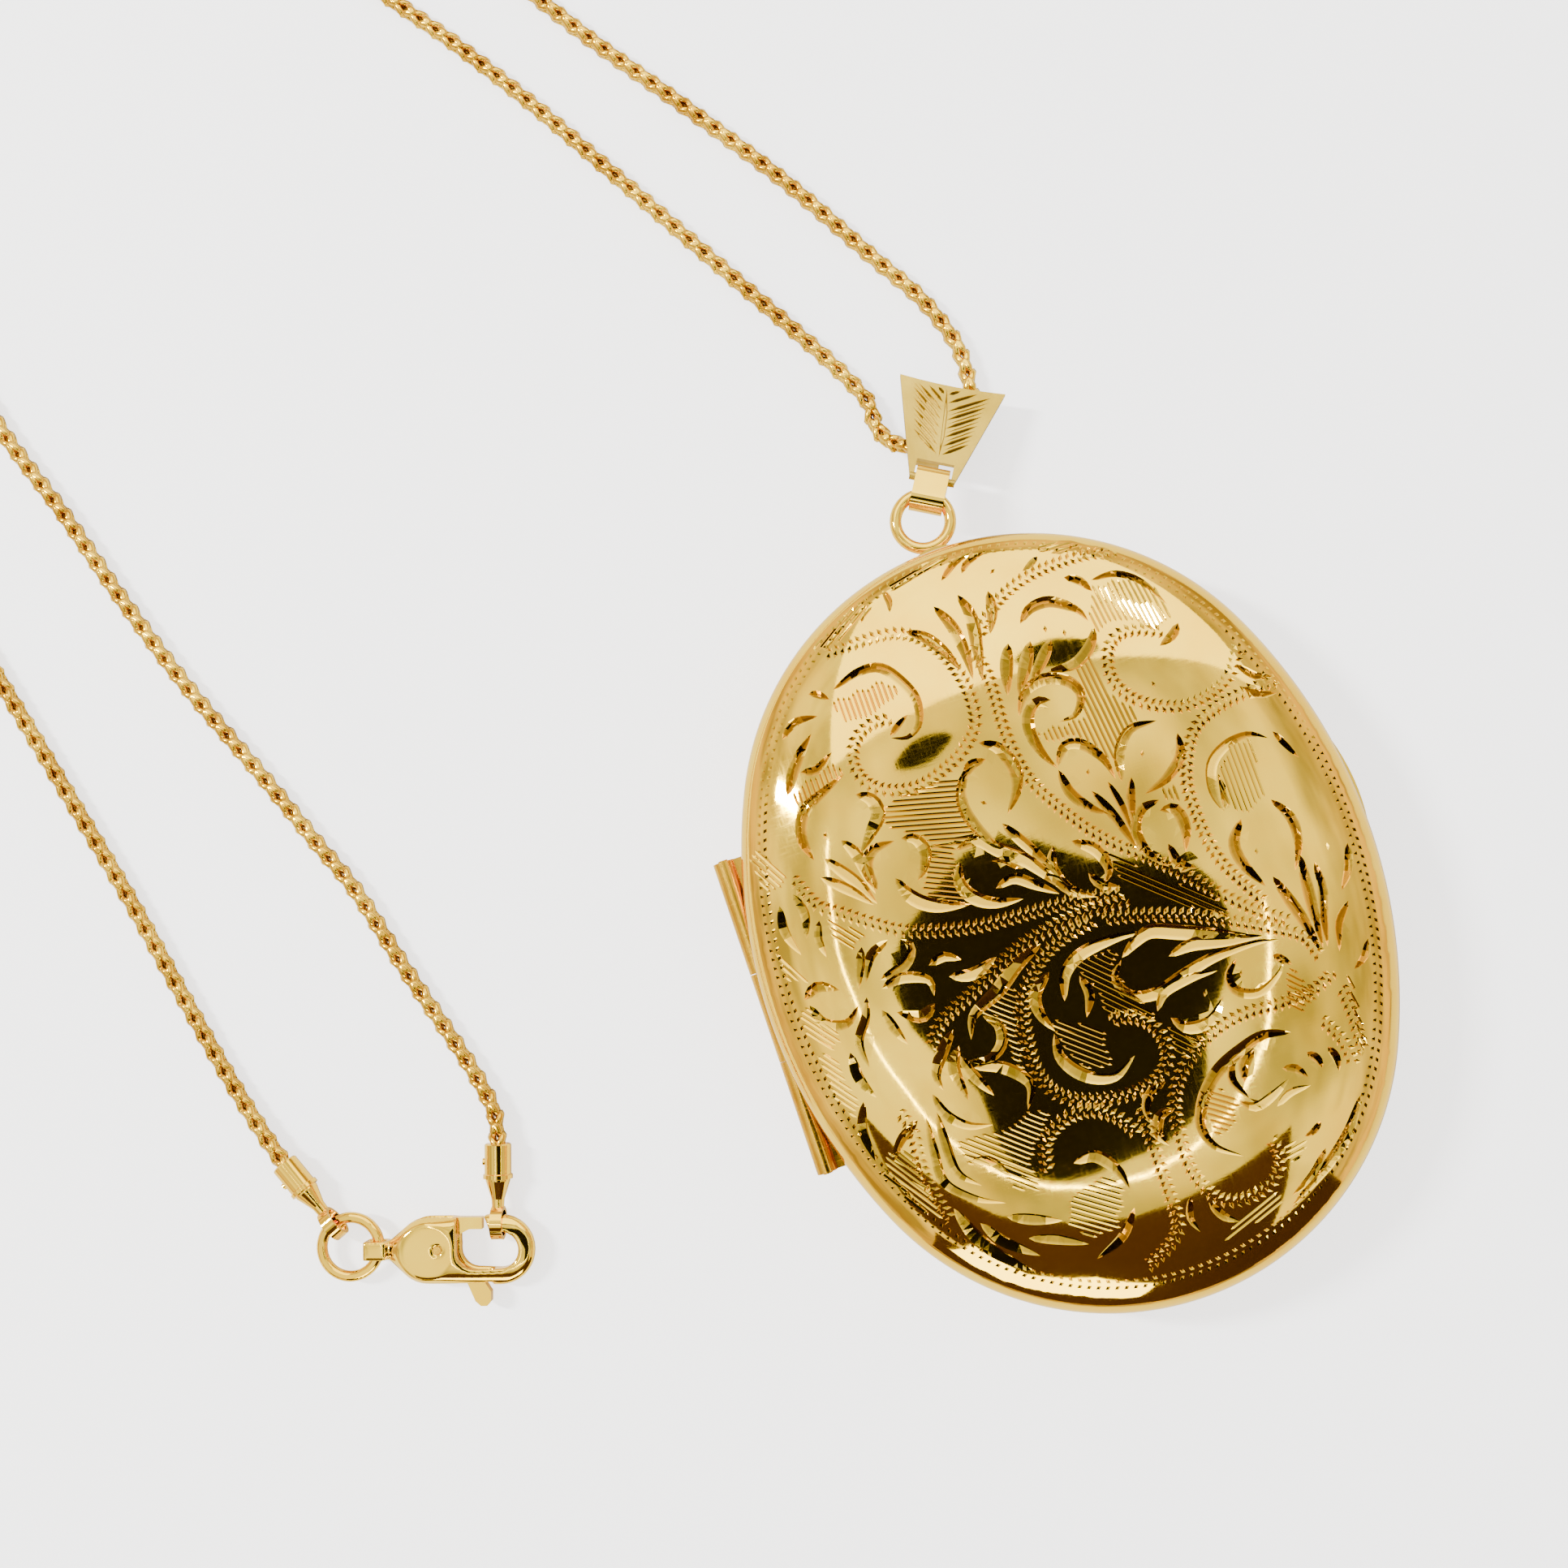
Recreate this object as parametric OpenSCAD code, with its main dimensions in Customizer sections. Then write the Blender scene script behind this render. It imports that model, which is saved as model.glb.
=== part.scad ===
// Oval gold locket on a fine chain, closed and lying on its back.
// +Y runs along the locket's long axis towards the bail, +X away from the hinge,
// +Z up through the front cover. Z = 0 is the surface that it lies on.

/* [Locket] */
// Half of the oval's length
half_length = 24; // [22:0.5:28]
// Half of the oval's width
half_width = 19.1; // [18.6:0.1:20]
// Radius of the oval's two end arcs
end_radius = 17.7; // [16:0.1:18]
// Height of each cover, from the seam to the top of its dome
cover_height = 5.2; // [4.6:0.1:6]
// Height of the plain upright wall at each cover's edge
wall_height = 1; // [0.8:0.1:1.2]
// Thickness of the cover metal
cover_metal = 0.45; // [0.35:0.05:0.6]

/* [Hinge] */
// Length of the whole hinge
hinge_length = 20; // [16:0.5:22]
// Length of the middle knuckle, on the front cover
middle_length = 5.6; // [4:0.2:7]
// Outer radius of the knuckles
knuckle_radius = 0.65; // [0.55:0.05:0.7]
// Radius of the hinge pin
pin_radius = 0.3; // [0.25:0.01:0.35]

/* [Bail] */
// Width of the leaf's top edge
leaf_top_width = 6.9; // [5:0.1:8]
// Length of the leaf from its bar to its top edge
leaf_length = 6.9; // [6:0.1:8]
// Thickness of the bail's sheet
sheet = 0.35; // [0.3:0.05:0.4]
// Outer radius of the ring on the locket
ring_outer = 2.1; // [1.9:0.05:2.3]
// Diameter of the ring's wire
ring_wire = 0.75; // [0.6:0.05:0.8]

/* [Chain and clasp] */
// Diameter of the chain
chain_width = 1.25; // [1:0.05:1.4]
// Length of the clasp, without its neck
clasp_length = 9.8; // [9.6:0.1:10.4]
// Width of the clasp
clasp_width = 4.4; // [4.2:0.1:4.6]
// Outer diameter of the jump ring
jump_outer = 4.4; // [4.2:0.1:4.6]
// Diameter of the jump ring's wire
jump_wire = 0.7; // [0.6:0.05:0.75]

/* [Hidden] */

gold = [0.86, 0.68, 0.33];
deep_gold = [0.72, 0.52, 0.22];
fine = 128;    // segments of the big arcs
round_fn = 48; // segments of small round things
tiny = 0.01;
middle_y = 6.35; // the middle of locket and bail together, where Y is 0
locket_y = 0.2;  // the oval's centre, in the same measure as the chain's route

seam = cover_height;           // height of the seam between the covers
seam_gap = 0.05;               // each half stops this far short of the seam
dome_height = cover_height - wall_height;
dome_power = 2.2;
rim_metal = 1.1;               // how wide each rim is
rim_inset = cover_metal + rim_metal;
rim_depth = 1.5;               // how far each rim reaches from the seam
ledge_depth = 0.2;
ledge_width = 0.75;
lip_clearance = 0.08;
lip_metal = 0.3;

// The oval: two side arcs and two end arcs that run smoothly into each other.
// inset draws it that much smaller all round.
side_radius = (pow(half_length - end_radius, 2) + pow(half_width, 2) - pow(end_radius, 2))
  / (2 * (half_width - end_radius));
side_centre = side_radius - half_width;
end_centre = half_length - end_radius;
meet_y = end_centre * side_radius / norm([side_centre, end_centre]);

module oval(inset = 0) {
  intersection() {
    translate([-side_centre, 0]) circle(r = side_radius - inset, $fn = fine);
    translate([side_centre, 0]) circle(r = side_radius - inset, $fn = fine);
    square([3 * half_width, 2 * (meet_y - inset * end_centre / norm([side_centre, end_centre]))],
      center = true);
  }
  for (end = [-1, 1])
    translate([0, end * end_centre]) circle(r = end_radius - inset, $fn = fine);
}

module oval_ring(outer_inset, inner_inset, bottom, top)
  translate([0, 0, bottom]) linear_extrude(top - bottom) difference() {
    oval(outer_inset);
    oval(inner_inset);
  }

module oval_plate(inset, bottom, top)
  translate([0, 0, bottom]) linear_extrude(top - bottom) oval(inset);

// Distance from the centre to the oval in a direction, for the domes.
function to_circle(c, r, a) = let (along = c * [cos(a), sin(a)])
  along + sqrt(along * along + r * r - c * c);
function first_quarter(a) = let (b = abs(a % 360), c = b > 180 ? 360 - b : b) c > 90 ? 180 - c : c;
function oval_reach(a, inset) = let (q = first_quarter(a),
    side = to_circle([-side_centre, 0], side_radius - inset, q),
    end = to_circle([0, end_centre], end_radius - inset, q))
  q < atan2(meet_y, meet_y * side_centre / end_centre - side_centre) ? side : end;
function dome_rise(rho) = pow(max(0, 1 - pow(rho, dome_power)), 1 / dome_power);

// A solid dome over the oval, standing on height bottom.
module dome(inset, bottom, wall_top, rise, around = 64, steps = 9) {
  ring_at = [for (k = [1:steps]) sin(90 * k / steps)];
  function around_ring(rho, z) = [for (i = [0:around - 1])
    let (a = 360 * i / around, r = rho * oval_reach(a, inset)) [r * cos(a), r * sin(a), z]];
  points = concat([[0, 0, wall_top + rise]],
    [for (rho = ring_at) each around_ring(rho, wall_top + rise * dome_rise(rho))],
    around_ring(1, bottom), [[0, 0, bottom]]);
  last = steps * around + 1;
  faces = concat(
    [for (i = [0:around - 1]) [0, 1 + (i + 1) % around, 1 + i]],
    [for (k = [0:steps - 1]) for (i = [0:around - 1]) let (a = 1 + k * around + i,
      b = 1 + k * around + (i + 1) % around) each [[a, b, b + around], [a, b + around, a + around]]],
    [for (i = [0:around - 1]) [last + around, last + i, last + (i + 1) % around]]);
  polyhedron(points, faces);
}

module cover_shell() difference() {
  dome(0, seam - 1, seam + wall_height, dome_height);
  dome(cover_metal, seam - 2, seam + wall_height, dome_height - cover_metal, steps = 8);
  translate([0, 0, seam + seam_gap - 5]) cube([3 * half_length, 3 * half_length, 10], center = true);
}

// Turns a front piece into the matching back piece.
module to_back() translate([0, 0, 2 * seam]) mirror([0, 0, 1]) children();
module place() translate([0, -middle_y, 0]) children();
module place_locket() place() translate([0, locket_y, 0]) children();

// The hinge runs along Y at the edge of the oval.
axis_x = 0.3 - half_width;
notch_radius = 0.8;
middle_reach = 1.2; // how far each knuckle's leaf runs in under its rim
outer_reach = 1.4;
leaf_rise = 0.8;
running_gap = 0.04;
outer_start = middle_length / 2 + 0.04;
hinge_end = hinge_length / 2;

module along_hinge(from, to) translate([axis_x, from, seam]) rotate([-90, 0, 0])
  linear_extrude(to - from) children();

// A leaf reaches from the axis into the cover, on the upper or the lower side.
module leaf_shape(reach, upper, gap = seam_gap) translate([0, upper ? -leaf_rise : gap])
  square([reach, leaf_rise - gap]);

module tube_space() along_hinge(-hinge_end - 0.1, hinge_end + 0.1)
  circle(r = notch_radius, $fn = round_fn);

module front_hinge_space() {
  tube_space();
  along_hinge(-middle_length / 2, middle_length / 2) leaf_shape(middle_reach, true, 0);
}

module back_hinge_space() {
  tube_space();
  for (from = [-hinge_end, outer_start])
    along_hinge(from, from + hinge_end - outer_start) leaf_shape(outer_reach, false, 0);
}

// One knuckle: a tube and the leaf that is soldered to its cover.
module knuckle(from, to, reach, upper, bore) difference() {
  along_hinge(from, to) {
    circle(r = knuckle_radius, $fn = round_fn);
    leaf_shape(reach, upper);
  }
  along_hinge(from - 1, to + 1) circle(r = bore, $fn = round_fn);
}

module back_cover() color(gold) place_locket() difference() {
  to_back() cover_shell();
  back_hinge_space();
  nail_notch();
}

module front_cover() color(gold) place_locket() difference() {
  cover_shell();
  front_hinge_space();
}

// The thumbnail's place, a little above the middle of the side away from the hinge.
module at_thumb(out, height) translate([-side_centre, 0, height]) rotate([0, 0, 4])
  translate([side_radius + out, 0, 0]) rotate([0, 0, 90]) children();

module nail_notch() at_thumb(0.35, seam - seam_gap - 0.5) linear_extrude(0.6) thin_lens(5, 0.6);

// A thin lens outline: a shallow arc each side, length and depth given.
module thin_lens(length, depth) {
  r = (length * length / 4 + depth * depth) / (2 * depth);
  intersection() {
    translate([0, r - depth]) circle(r = r, $fn = fine);
    translate([0, depth - r]) circle(r = r, $fn = fine);
  }
}

module half_rim() {
  oval_ring(cover_metal, rim_inset, seam + seam_gap, seam + rim_depth);
  oval_ring(cover_metal + tiny, rim_inset + ledge_width, seam + rim_depth - ledge_depth,
    seam + rim_depth);
}

module front_rim() color(deep_gold) place_locket() difference() {
  half_rim();
  front_hinge_space();
}

lip_inset = rim_inset + lip_clearance;
lip_foot = seam - 0.45;
lip_top = seam + 0.25;
module back_rim() color(deep_gold) place_locket() difference() {
  union() {
    to_back() half_rim();
    oval_ring(lip_inset, lip_inset + lip_metal, lip_foot, lip_top);
    oval_ring(rim_inset - 0.2, lip_inset + lip_metal, lip_foot, seam - seam_gap);
  }
  back_hinge_space();
}

// Behind each frame, from the seam outwards: frame, window, card, then the rim's ledge.
fit_gap = 0.1;
card_metal = 0.15;
window_metal = 0.3;
frame_metal = 0.35;
card_top = seam + rim_depth - ledge_depth;

module photo_card() oval_plate(rim_inset + fit_gap, card_top - card_metal, card_top);
module photo_window() oval_plate(rim_inset + fit_gap, card_top - card_metal - window_metal,
  card_top - card_metal);
module photo_frame() {
  top = card_top - card_metal - window_metal;
  oval_ring(rim_inset + 0.03, rim_inset + 1.2, top - frame_metal, top);
  oval_ring(rim_inset + 0.6, rim_inset + 1.4, top - 0.6 * frame_metal, top);
}

module front_photo_card() color("ivory") place_locket() photo_card();
module back_photo_card() color("ivory") place_locket() to_back() photo_card();
module front_window() color("aliceblue", 0.4) place_locket() photo_window();
module back_window() color("aliceblue", 0.4) place_locket() to_back() photo_window();
module front_photo_frame() color(gold) place_locket() photo_frame();
module back_photo_frame() color(gold) place_locket() to_back() photo_frame();

module upper_knuckle() color(gold) place_locket()
  knuckle(outer_start, hinge_end, outer_reach, false, pin_radius);
module lower_knuckle() color(gold) place_locket()
  knuckle(-hinge_end, -outer_start, outer_reach, false, pin_radius);
module middle_knuckle() color(gold) place_locket()
  knuckle(-middle_length / 2, middle_length / 2, middle_reach, true, pin_radius + running_gap);
module hinge_pin() color(deep_gold) place_locket()
  along_hinge(-hinge_end - 0.1, hinge_end + 0.1) circle(r = pin_radius, $fn = round_fn);

// A thin crescent on the front cover's edge for a thumbnail.
module thumb_lip() color(gold) place_locket() difference() {
  at_thumb(0.05, seam + seam_gap) linear_extrude(0.4) thin_lens(5.6, 0.3);
  oval_plate(0, 0, 2 * seam);
}

// The bail's own frame: x across it, y away from the ring's centre, z up.
ring_centre = 26.5;
ring_z = 4.4;
bail_turn = -31;
module bail_frame() place() translate([0, ring_centre, 0]) rotate([0, 0, bail_turn]) children();

module bail_ring() color(gold) place() difference() {
  union() {
    translate([0, ring_centre, ring_z]) rotate_extrude($fn = fine)
      translate([ring_outer - ring_wire / 2, 0]) circle(d = ring_wire, $fn = fine);
    translate([0, locket_y + half_length + 0.1, ring_z]) intersection() {
      cube([3.4, 2, 0.95], center = true);
      translate([0, -2.4, -1]) cylinder(r = 2.75, h = 2, $fn = fine);
    }
  }
  translate([0, locket_y, 0]) oval_plate(0, 0, 2 * seam);
}

// The link is a flat band, closed round the ring's wire and the bail's bar.
link_start = [1.45, ring_z];
link_reach = 1.3;
link_slope = -18;
link_hole = 0.6;
link_metal = 0.3;
link_width = 2.1;

module across_bail(width) rotate([90, 0, 90]) linear_extrude(width, center = true) children();

module long_hole(reach, radius) {
  circle(r = radius, $fn = round_fn);
  translate([0, -radius]) square([reach, 2 * radius]);
  translate([reach, 0]) circle(r = radius, $fn = round_fn);
}

module bail_link() color(gold) bail_frame() across_bail(link_width)
  translate(link_start) rotate(link_slope) difference() {
    long_hole(link_reach, link_hole + link_metal);
    long_hole(link_reach, link_hole);
  }

// The bail is one bent sheet: a wide leaf, a slot over the bar that the link
// holds, and a narrow strap folded under the leaf, so that the chain has a loop.
bar_centre = [0, 2.84, 3.95];
bar_radius = 0.25;
leaf_tilt = -13.7;
leaf_foot_width = 2.9;
slot_width = 2.4;
slot_end = 1.2;
strap_width = 1.6;
strap_side = -0.6;
lower_bend = [2.6, 1.2]; // place along the leaf and outer radius
upper_bend = [5.4, 1.35];

module strap_outline(less) hull()
  for (bend = [lower_bend, upper_bend])
    translate([bend[0], sheet / 2 - bend[1]]) circle(r = bend[1] - less, $fn = 32);

module leaf_outline() difference() {
  polygon([[-leaf_foot_width / 2, 0], [-leaf_top_width / 2, leaf_length],
    [0, leaf_length - 0.18], [leaf_top_width / 2, leaf_length], [leaf_foot_width / 2, 0]]);
  translate([-slot_width / 2, 0]) square([slot_width, slot_end]);
}

module bail() color(deep_gold) bail_frame() translate(bar_centre) rotate([leaf_tilt, 0, 0]) {
  translate([0, 0, -sheet / 2]) linear_extrude(sheet) leaf_outline();
  rotate([0, 90, 0]) cylinder(r = bar_radius, h = leaf_foot_width, center = true, $fn = round_fn);
  translate([strap_side, 0, 0]) across_bail(strap_width) difference() {
    strap_outline(0);
    strap_outline(sheet);
  }
}

// The chain lies as a free cord. Its route is measured from the oval's centre.
low = 0.65; // height of the chain's middle where it lies on the surface
route = [
  [-52.1, 1.4, 1.2], [-53, 4, 0.9], [-54.1, 8, low], [-55.4, 14, low], [-56.8, 20.8, low],
  [-58.5, 28, low], [-60.8, 37.5, low], [-63.5, 48, low], [-66, 58.5, low], [-68.5, 70, low],
  [-69.8, 81, low], [-69.5, 91.5, low], [-67, 101, low], [-62, 108.5, low], [-54.5, 112.5, low],
  [-46, 111.5, low], [-38, 106.5, low], [-31, 98.5, low], [-24.5, 89, low], [-18, 79, low],
  [-12.2, 69.5, low], [-9.4, 65, low], [-5, 58.5, low], [-0.7, 51.8, low], [3, 45.1, low],
  [5.1, 41.3, low], [6.2, 38, low], [6.3, 36, 0.7], [6.1, 34.6, 0.85], [5.8, 33.4, 1.1],
  [5.3, 32.4, 1.4], [4.6, 31.6, 1.8], [3.7, 31.3, 2.1], [2.6, 31.3, 2.35], [1.5, 31.7, 2.2],
  [0.5, 32.3, 1.7], [-0.2, 33.2, 1.15], [-0.5, 34.5, 0.8], [-0.5, 36.1, low], [-1.7, 38.9, low],
  [-3.7, 42.6, low], [-7, 48.5, low], [-11.5, 56.6, low], [-15, 62.8, low], [-18.6, 68.6, low],
  [-21.6, 72.9, low], [-26, 79.5, low], [-32, 88.5, low], [-38.5, 96.5, low],
  [-46, 102, low], [-53.5, 101.5, low], [-59, 95.5, low], [-61.3, 86, low], [-60.6, 75, low],
  [-58.4, 64, low], [-55.8, 53.8, low], [-53.5, 47, low], [-51.4, 40, low], [-49, 33, low],
  [-45.9, 25.4, low], [-44, 20.5, low], [-42.4, 16.4, low], [-40.9, 10.6, low],
  [-39.2, 4.8, low], [-38.5, 2, 0.75], [-38.2, 0, 1], [-38.5, -1.9, 1.2]
];

function unit(v) = v / norm(v);
function heading(k) = unit(route[min(k + 1, len(route) - 1)] - route[max(k - 1, 0)]);
function chain_ring(k, sides) = let (ahead = heading(k), side = unit(cross(ahead, [0, 0, 1])),
    up = cross(side, ahead), r = chain_width / 2)
  [for (i = [0:sides - 1]) let (a = 360 * (i + 0.5) / sides)
    route[k] + r * (cos(a) * side + sin(a) * up)];

module swept_chain(sides = 8) {
  last = len(route) - 1;
  points = [for (k = [0:last]) each chain_ring(k, sides)];
  faces = concat([[for (i = [sides - 1:-1:0]) i]],
    [for (k = [0:last - 1]) for (i = [0:sides - 1]) let (a = k * sides + i,
      b = k * sides + (i + 1) % sides) each [[a, b, b + sides], [a, b + sides, a + sides]]],
    [[for (i = [0:sides - 1]) last * sides + i]]);
  polyhedron(points, faces);
}

module chain() color(gold) place() swept_chain();

// Each end cap: barrel, collar, taper and an eye. Its own frame has y along
// the barrel towards the chain, with the eye's centre at the origin.
fittings_z = 1.2;
eye_hole = 0.8;
eye_outer = 1.05;
eye_width = 0.75;
barrel_radius = 0.85;
cap_length = 5; // from the eye's centre to the barrel's mouth
collar_radius = 0.95;
rivet_radius = 0.22;

module end_cap() difference() {
  union() {
    rotate([0, 90, 0]) cylinder(r = eye_outer, h = eye_width, center = true, $fn = round_fn);
    rotate([-90, 0, 0]) rotate_extrude($fn = round_fn) polygon([[0, 0.8],
      [0.38, 0.8], [0.42, 1.5], [0.78, 2.65], [0.78, 2.75], [collar_radius, 2.8],
      [collar_radius, 3.05], [barrel_radius, 3.1], [barrel_radius, cap_length - 0.08],
      [barrel_radius - 0.08, cap_length], [0, cap_length]]);
  }
  rotate([0, 90, 0]) cylinder(r = eye_hole, h = 2, center = true, $fn = round_fn);
  cap_rivet(rivet_radius, 1);
}

// The rivet's shank goes through the barrel, and its head stands out at the side.
module cap_rivet(radius, length) translate([-barrel_radius - 0.12, cap_length - 1.15, 0])
  rotate([0, 90, 0]) cylinder(r = radius, h = length, $fn = round_fn);

left_eye = [-50.2, -3.3];
left_cap_turn = 22;
module left_cap_frame() place() translate([left_eye[0], left_eye[1], fittings_z])
  rotate([0, 0, left_cap_turn]) children();
module right_cap_frame() place() translate([clasp_at[0], clasp_at[1], fittings_z])
  rotate([0, 0, clasp_turn]) translate([eye_place[0], eye_place[1], 0]) children();

module left_end_cap() color(gold) left_cap_frame() end_cap();
module right_end_cap() color(gold) right_cap_frame() end_cap();
module left_cap_rivet() color(deep_gold) left_cap_frame() cap_rivet(rivet_radius, 1);
module right_cap_rivet() color(deep_gold) right_cap_frame() cap_rivet(rivet_radius, 1);

module jump_ring() color(gold) clasp_frame() translate([jump_place[0], jump_place[1], 0])
  rotate_extrude($fn = fine) translate([(jump_outer - jump_wire) / 2, 0]) intersection() {
    circle(d = jump_wire, $fn = round_fn);
    square(jump_wire - 0.04, center = true);
  }

// The clasp's own frame: x along it towards the hook's end, y across, z up.
clasp_at = [-47.6, -5.9];
clasp_turn = -18;
eye_place = [7.4, 1.65];
jump_place = [-2.12, 0.2];
half_clasp = clasp_width / 2;
hook_hole = 1.15;
gate_start = 4.9;
gate_end = 6.5;
lever_metal = 0.7;
lever_slot = 0.9;
pivot = [3.7, 0.1];
pivot_radius = 0.25;
nose_radius = 3.44; // the hook's nose stays this far from the pivot, so that the gate can pass
module clasp_frame() place() translate([clasp_at[0], clasp_at[1], fittings_z])
  rotate([0, 0, clasp_turn]) children();

module soft_disc(x, y, r, half_height) translate([x, y, 0]) {
  cylinder(r = r, h = half_height, center = true, $fn = 32);
  cylinder(r = r - 0.35, h = 2 * half_height, center = true, $fn = 32);
}

module clasp_blank() hull() {
  soft_disc(0.9, 0, 0.75, 0.6);
  soft_disc(3, 0, half_clasp - 0.1, 1.15);
  soft_disc(clasp_length - half_clasp, 0, half_clasp, 0.5);
}

module hook_opening(extra = 0) translate([6.05, 0]) long_hole(1.55, hook_hole + extra);

module clasp_body() color(gold) clasp_frame() difference() {
  union() {
    clasp_blank();
    translate([-0.4, 0, 0]) cube([1.5, 1.2, 1.7], center = true);
  }
  translate([0, 0, -2]) linear_extrude(4) hook_opening();
  translate([0, 0, -2]) linear_extrude(4) intersection() {
    translate([gate_start, 0.3]) square(3);
    translate(pivot) circle(r = nose_radius, $fn = round_fn);
  }
  translate([2.1, -3, -lever_slot / 2]) cube([5, 3, lever_slot]);
  translate([2.1, -1, -lever_slot / 2]) cube([4, 4, lever_slot]);
  translate([-0.36, 2, 0]) rotate([90, 0, 0]) cylinder(r = 0.52, h = 4, $fn = round_fn);
  translate([pivot[0], pivot[1], -2]) cylinder(r = pivot_radius, h = 4, $fn = round_fn);
}

// The lever: a hub on the pin, an arm that is the gate, and an arm with a thumb tab.
lever_gate = [[3.6, 0.6], [4.5, 2.05], [gate_end - 0.08, 2.05], [gate_end - 0.08, 1.3],
  [5.6, 1.3], [4.9, 0.95], [4.4, -0.2], [3.7, -0.2]];
lever_tab = [[3.4, -0.4], [4.4, 0.3], [4.85, -0.75], [5.4, -1.3], [6.2, -1.42], [7, -2.6],
  [7, -3.2], [6.75, -3.5], [6.35, -3.5], [6, -3.2], [5.5, -2.1], [4.6, -1.7]];
module clasp_lever() color(gold) clasp_frame() translate([0, 0, -lever_metal / 2]) difference() {
  union() {
    translate([pivot[0], pivot[1], 0]) cylinder(r = 0.75, h = lever_metal, $fn = round_fn);
    linear_extrude(lever_metal) polygon(lever_gate);
    linear_extrude(lever_metal) polygon(lever_tab);
  }
  translate([pivot[0], pivot[1], -1])
    cylinder(r = pivot_radius + running_gap, h = 3, $fn = round_fn);
}

module clasp_pin() color(deep_gold) clasp_frame() translate([pivot[0], pivot[1], -1.05])
  cylinder(r = pivot_radius, h = 2.1, $fn = round_fn);

// A bent leaf spring in the clasp's body, behind the lever.
module clasp_spring() color("silver") clasp_frame() translate([0, 0, -0.25]) linear_extrude(0.5)
  polygon([[2.2, -1.2], [2.35, -1.2], [2.6, 0.3], [2.75, 1], [2.6, 1.05], [2.45, 0.4]]);

back_cover();
front_cover();
back_rim();
front_rim();
back_photo_card();
front_photo_card();
back_window();
front_window();
back_photo_frame();
front_photo_frame();
upper_knuckle();
lower_knuckle();
middle_knuckle();
hinge_pin();
thumb_lip();
bail_ring();
bail_link();
bail();
chain();
left_end_cap();
right_end_cap();
left_cap_rivet();
right_cap_rivet();
jump_ring();
clasp_body();
clasp_lever();
clasp_pin();
clasp_spring();
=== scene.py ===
import math
import bpy
import numpy as np
from mathutils import Matrix, Vector
from mathutils.geometry import delaunay_2d_cdt


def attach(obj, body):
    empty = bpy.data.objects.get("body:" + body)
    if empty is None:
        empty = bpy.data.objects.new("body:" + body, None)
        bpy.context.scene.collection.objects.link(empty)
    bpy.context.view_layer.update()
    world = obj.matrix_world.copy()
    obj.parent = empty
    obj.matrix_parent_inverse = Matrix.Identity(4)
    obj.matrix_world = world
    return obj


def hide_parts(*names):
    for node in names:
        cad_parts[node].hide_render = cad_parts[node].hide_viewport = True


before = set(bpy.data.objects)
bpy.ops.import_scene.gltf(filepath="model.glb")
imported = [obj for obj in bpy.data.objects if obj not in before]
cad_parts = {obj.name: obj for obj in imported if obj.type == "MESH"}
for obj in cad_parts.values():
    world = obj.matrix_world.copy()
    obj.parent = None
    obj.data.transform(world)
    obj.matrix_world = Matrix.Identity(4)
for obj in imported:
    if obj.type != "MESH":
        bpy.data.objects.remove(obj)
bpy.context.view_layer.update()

# %% [markdown]
# # An engraved gold locket on a wheat chain
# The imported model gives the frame: every part in its place and every joint. Here each part
# gets the shape and the finish that one sees on the bench. Lengths are written in millimetres
# and turned into metres by one factor, because a maker thinks in millimetres.

# %% Units and the places that the pieces share
MM = 0.001
MIDDLE_Y = 6.35      # the chain's route is measured from 6.35 mm below the row frame's middle
LOCKET_Y = 0.2       # the locket's own centre, in the same measure as the route


def at_route(x, y, z):
    """A point in the route's measure, as metres in the row frame."""
    return Vector((x, y - MIDDLE_Y, z)) * MM


print("pieces in the frame:", len(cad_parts))

# %% [markdown]
# ## The camera
# The camera stands almost straight above, a little to the hinge side. A lens of about
# 43 mm keeps the locket's sides from closing in, as a long lens would.

# %% The camera
def make_camera():
    data = bpy.data.cameras.new("camera")
    camera = bpy.data.objects.new("camera", data)
    bpy.context.scene.collection.objects.link(camera)
    ahead = Vector((-0.0255, 0.0898, -0.9956)).normalized()
    up = Vector((0.3264, 0.9421, 0.0766))
    right = ahead.cross(up).normalized()
    up = right.cross(ahead)
    turn = Matrix((right, up, -ahead)).transposed().to_4x4()
    camera.matrix_world = Matrix.Translation(at_route(-10.68, 3.15, 120.83)) @ turn
    data.lens = 42.86
    data.sensor_width = 36
    data.clip_start = 0.005
    data.clip_end = 10
    bpy.context.scene.camera = camera
    return camera


camera = make_camera()
print("camera height in mm:", round(camera.location.z / MM, 1))

# %% [markdown]
# ## Making a mesh piece
# Every piece below is worked out as points and faces, and then becomes an object that rides
# on its body. One helper does that, so that no piece is forgotten.

# %% A helper that turns points and faces into a piece
def make_piece(name, points, faces, body, stands_for=(), smooth=True):
    mesh = bpy.data.meshes.new(name)
    mesh.from_pydata([tuple(p) for p in points], [], [tuple(f) for f in faces])
    mesh.validate()
    mesh.polygons.foreach_set("use_smooth", [smooth] * len(mesh.polygons))
    mesh.update()
    piece = bpy.data.objects.new(name, mesh)
    bpy.context.scene.collection.objects.link(piece)
    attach(piece, body)
    if stands_for:
        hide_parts(*stands_for)
    print(name, "has", len(mesh.polygons), "faces")
    return piece


# %% [markdown]
# ## The chain
# A wheat chain is made of small oval links, each bent to a V and closed through the two
# before it. Seen from above, the Vs nest like the grains of an ear of wheat. One link is made
# once, as points round its wire, and is then laid again and again along the chain's route.
# Every second link is turned a quarter turn about the chain. One mesh holds them all, because
# the chain is one cord that moves as one.

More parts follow.
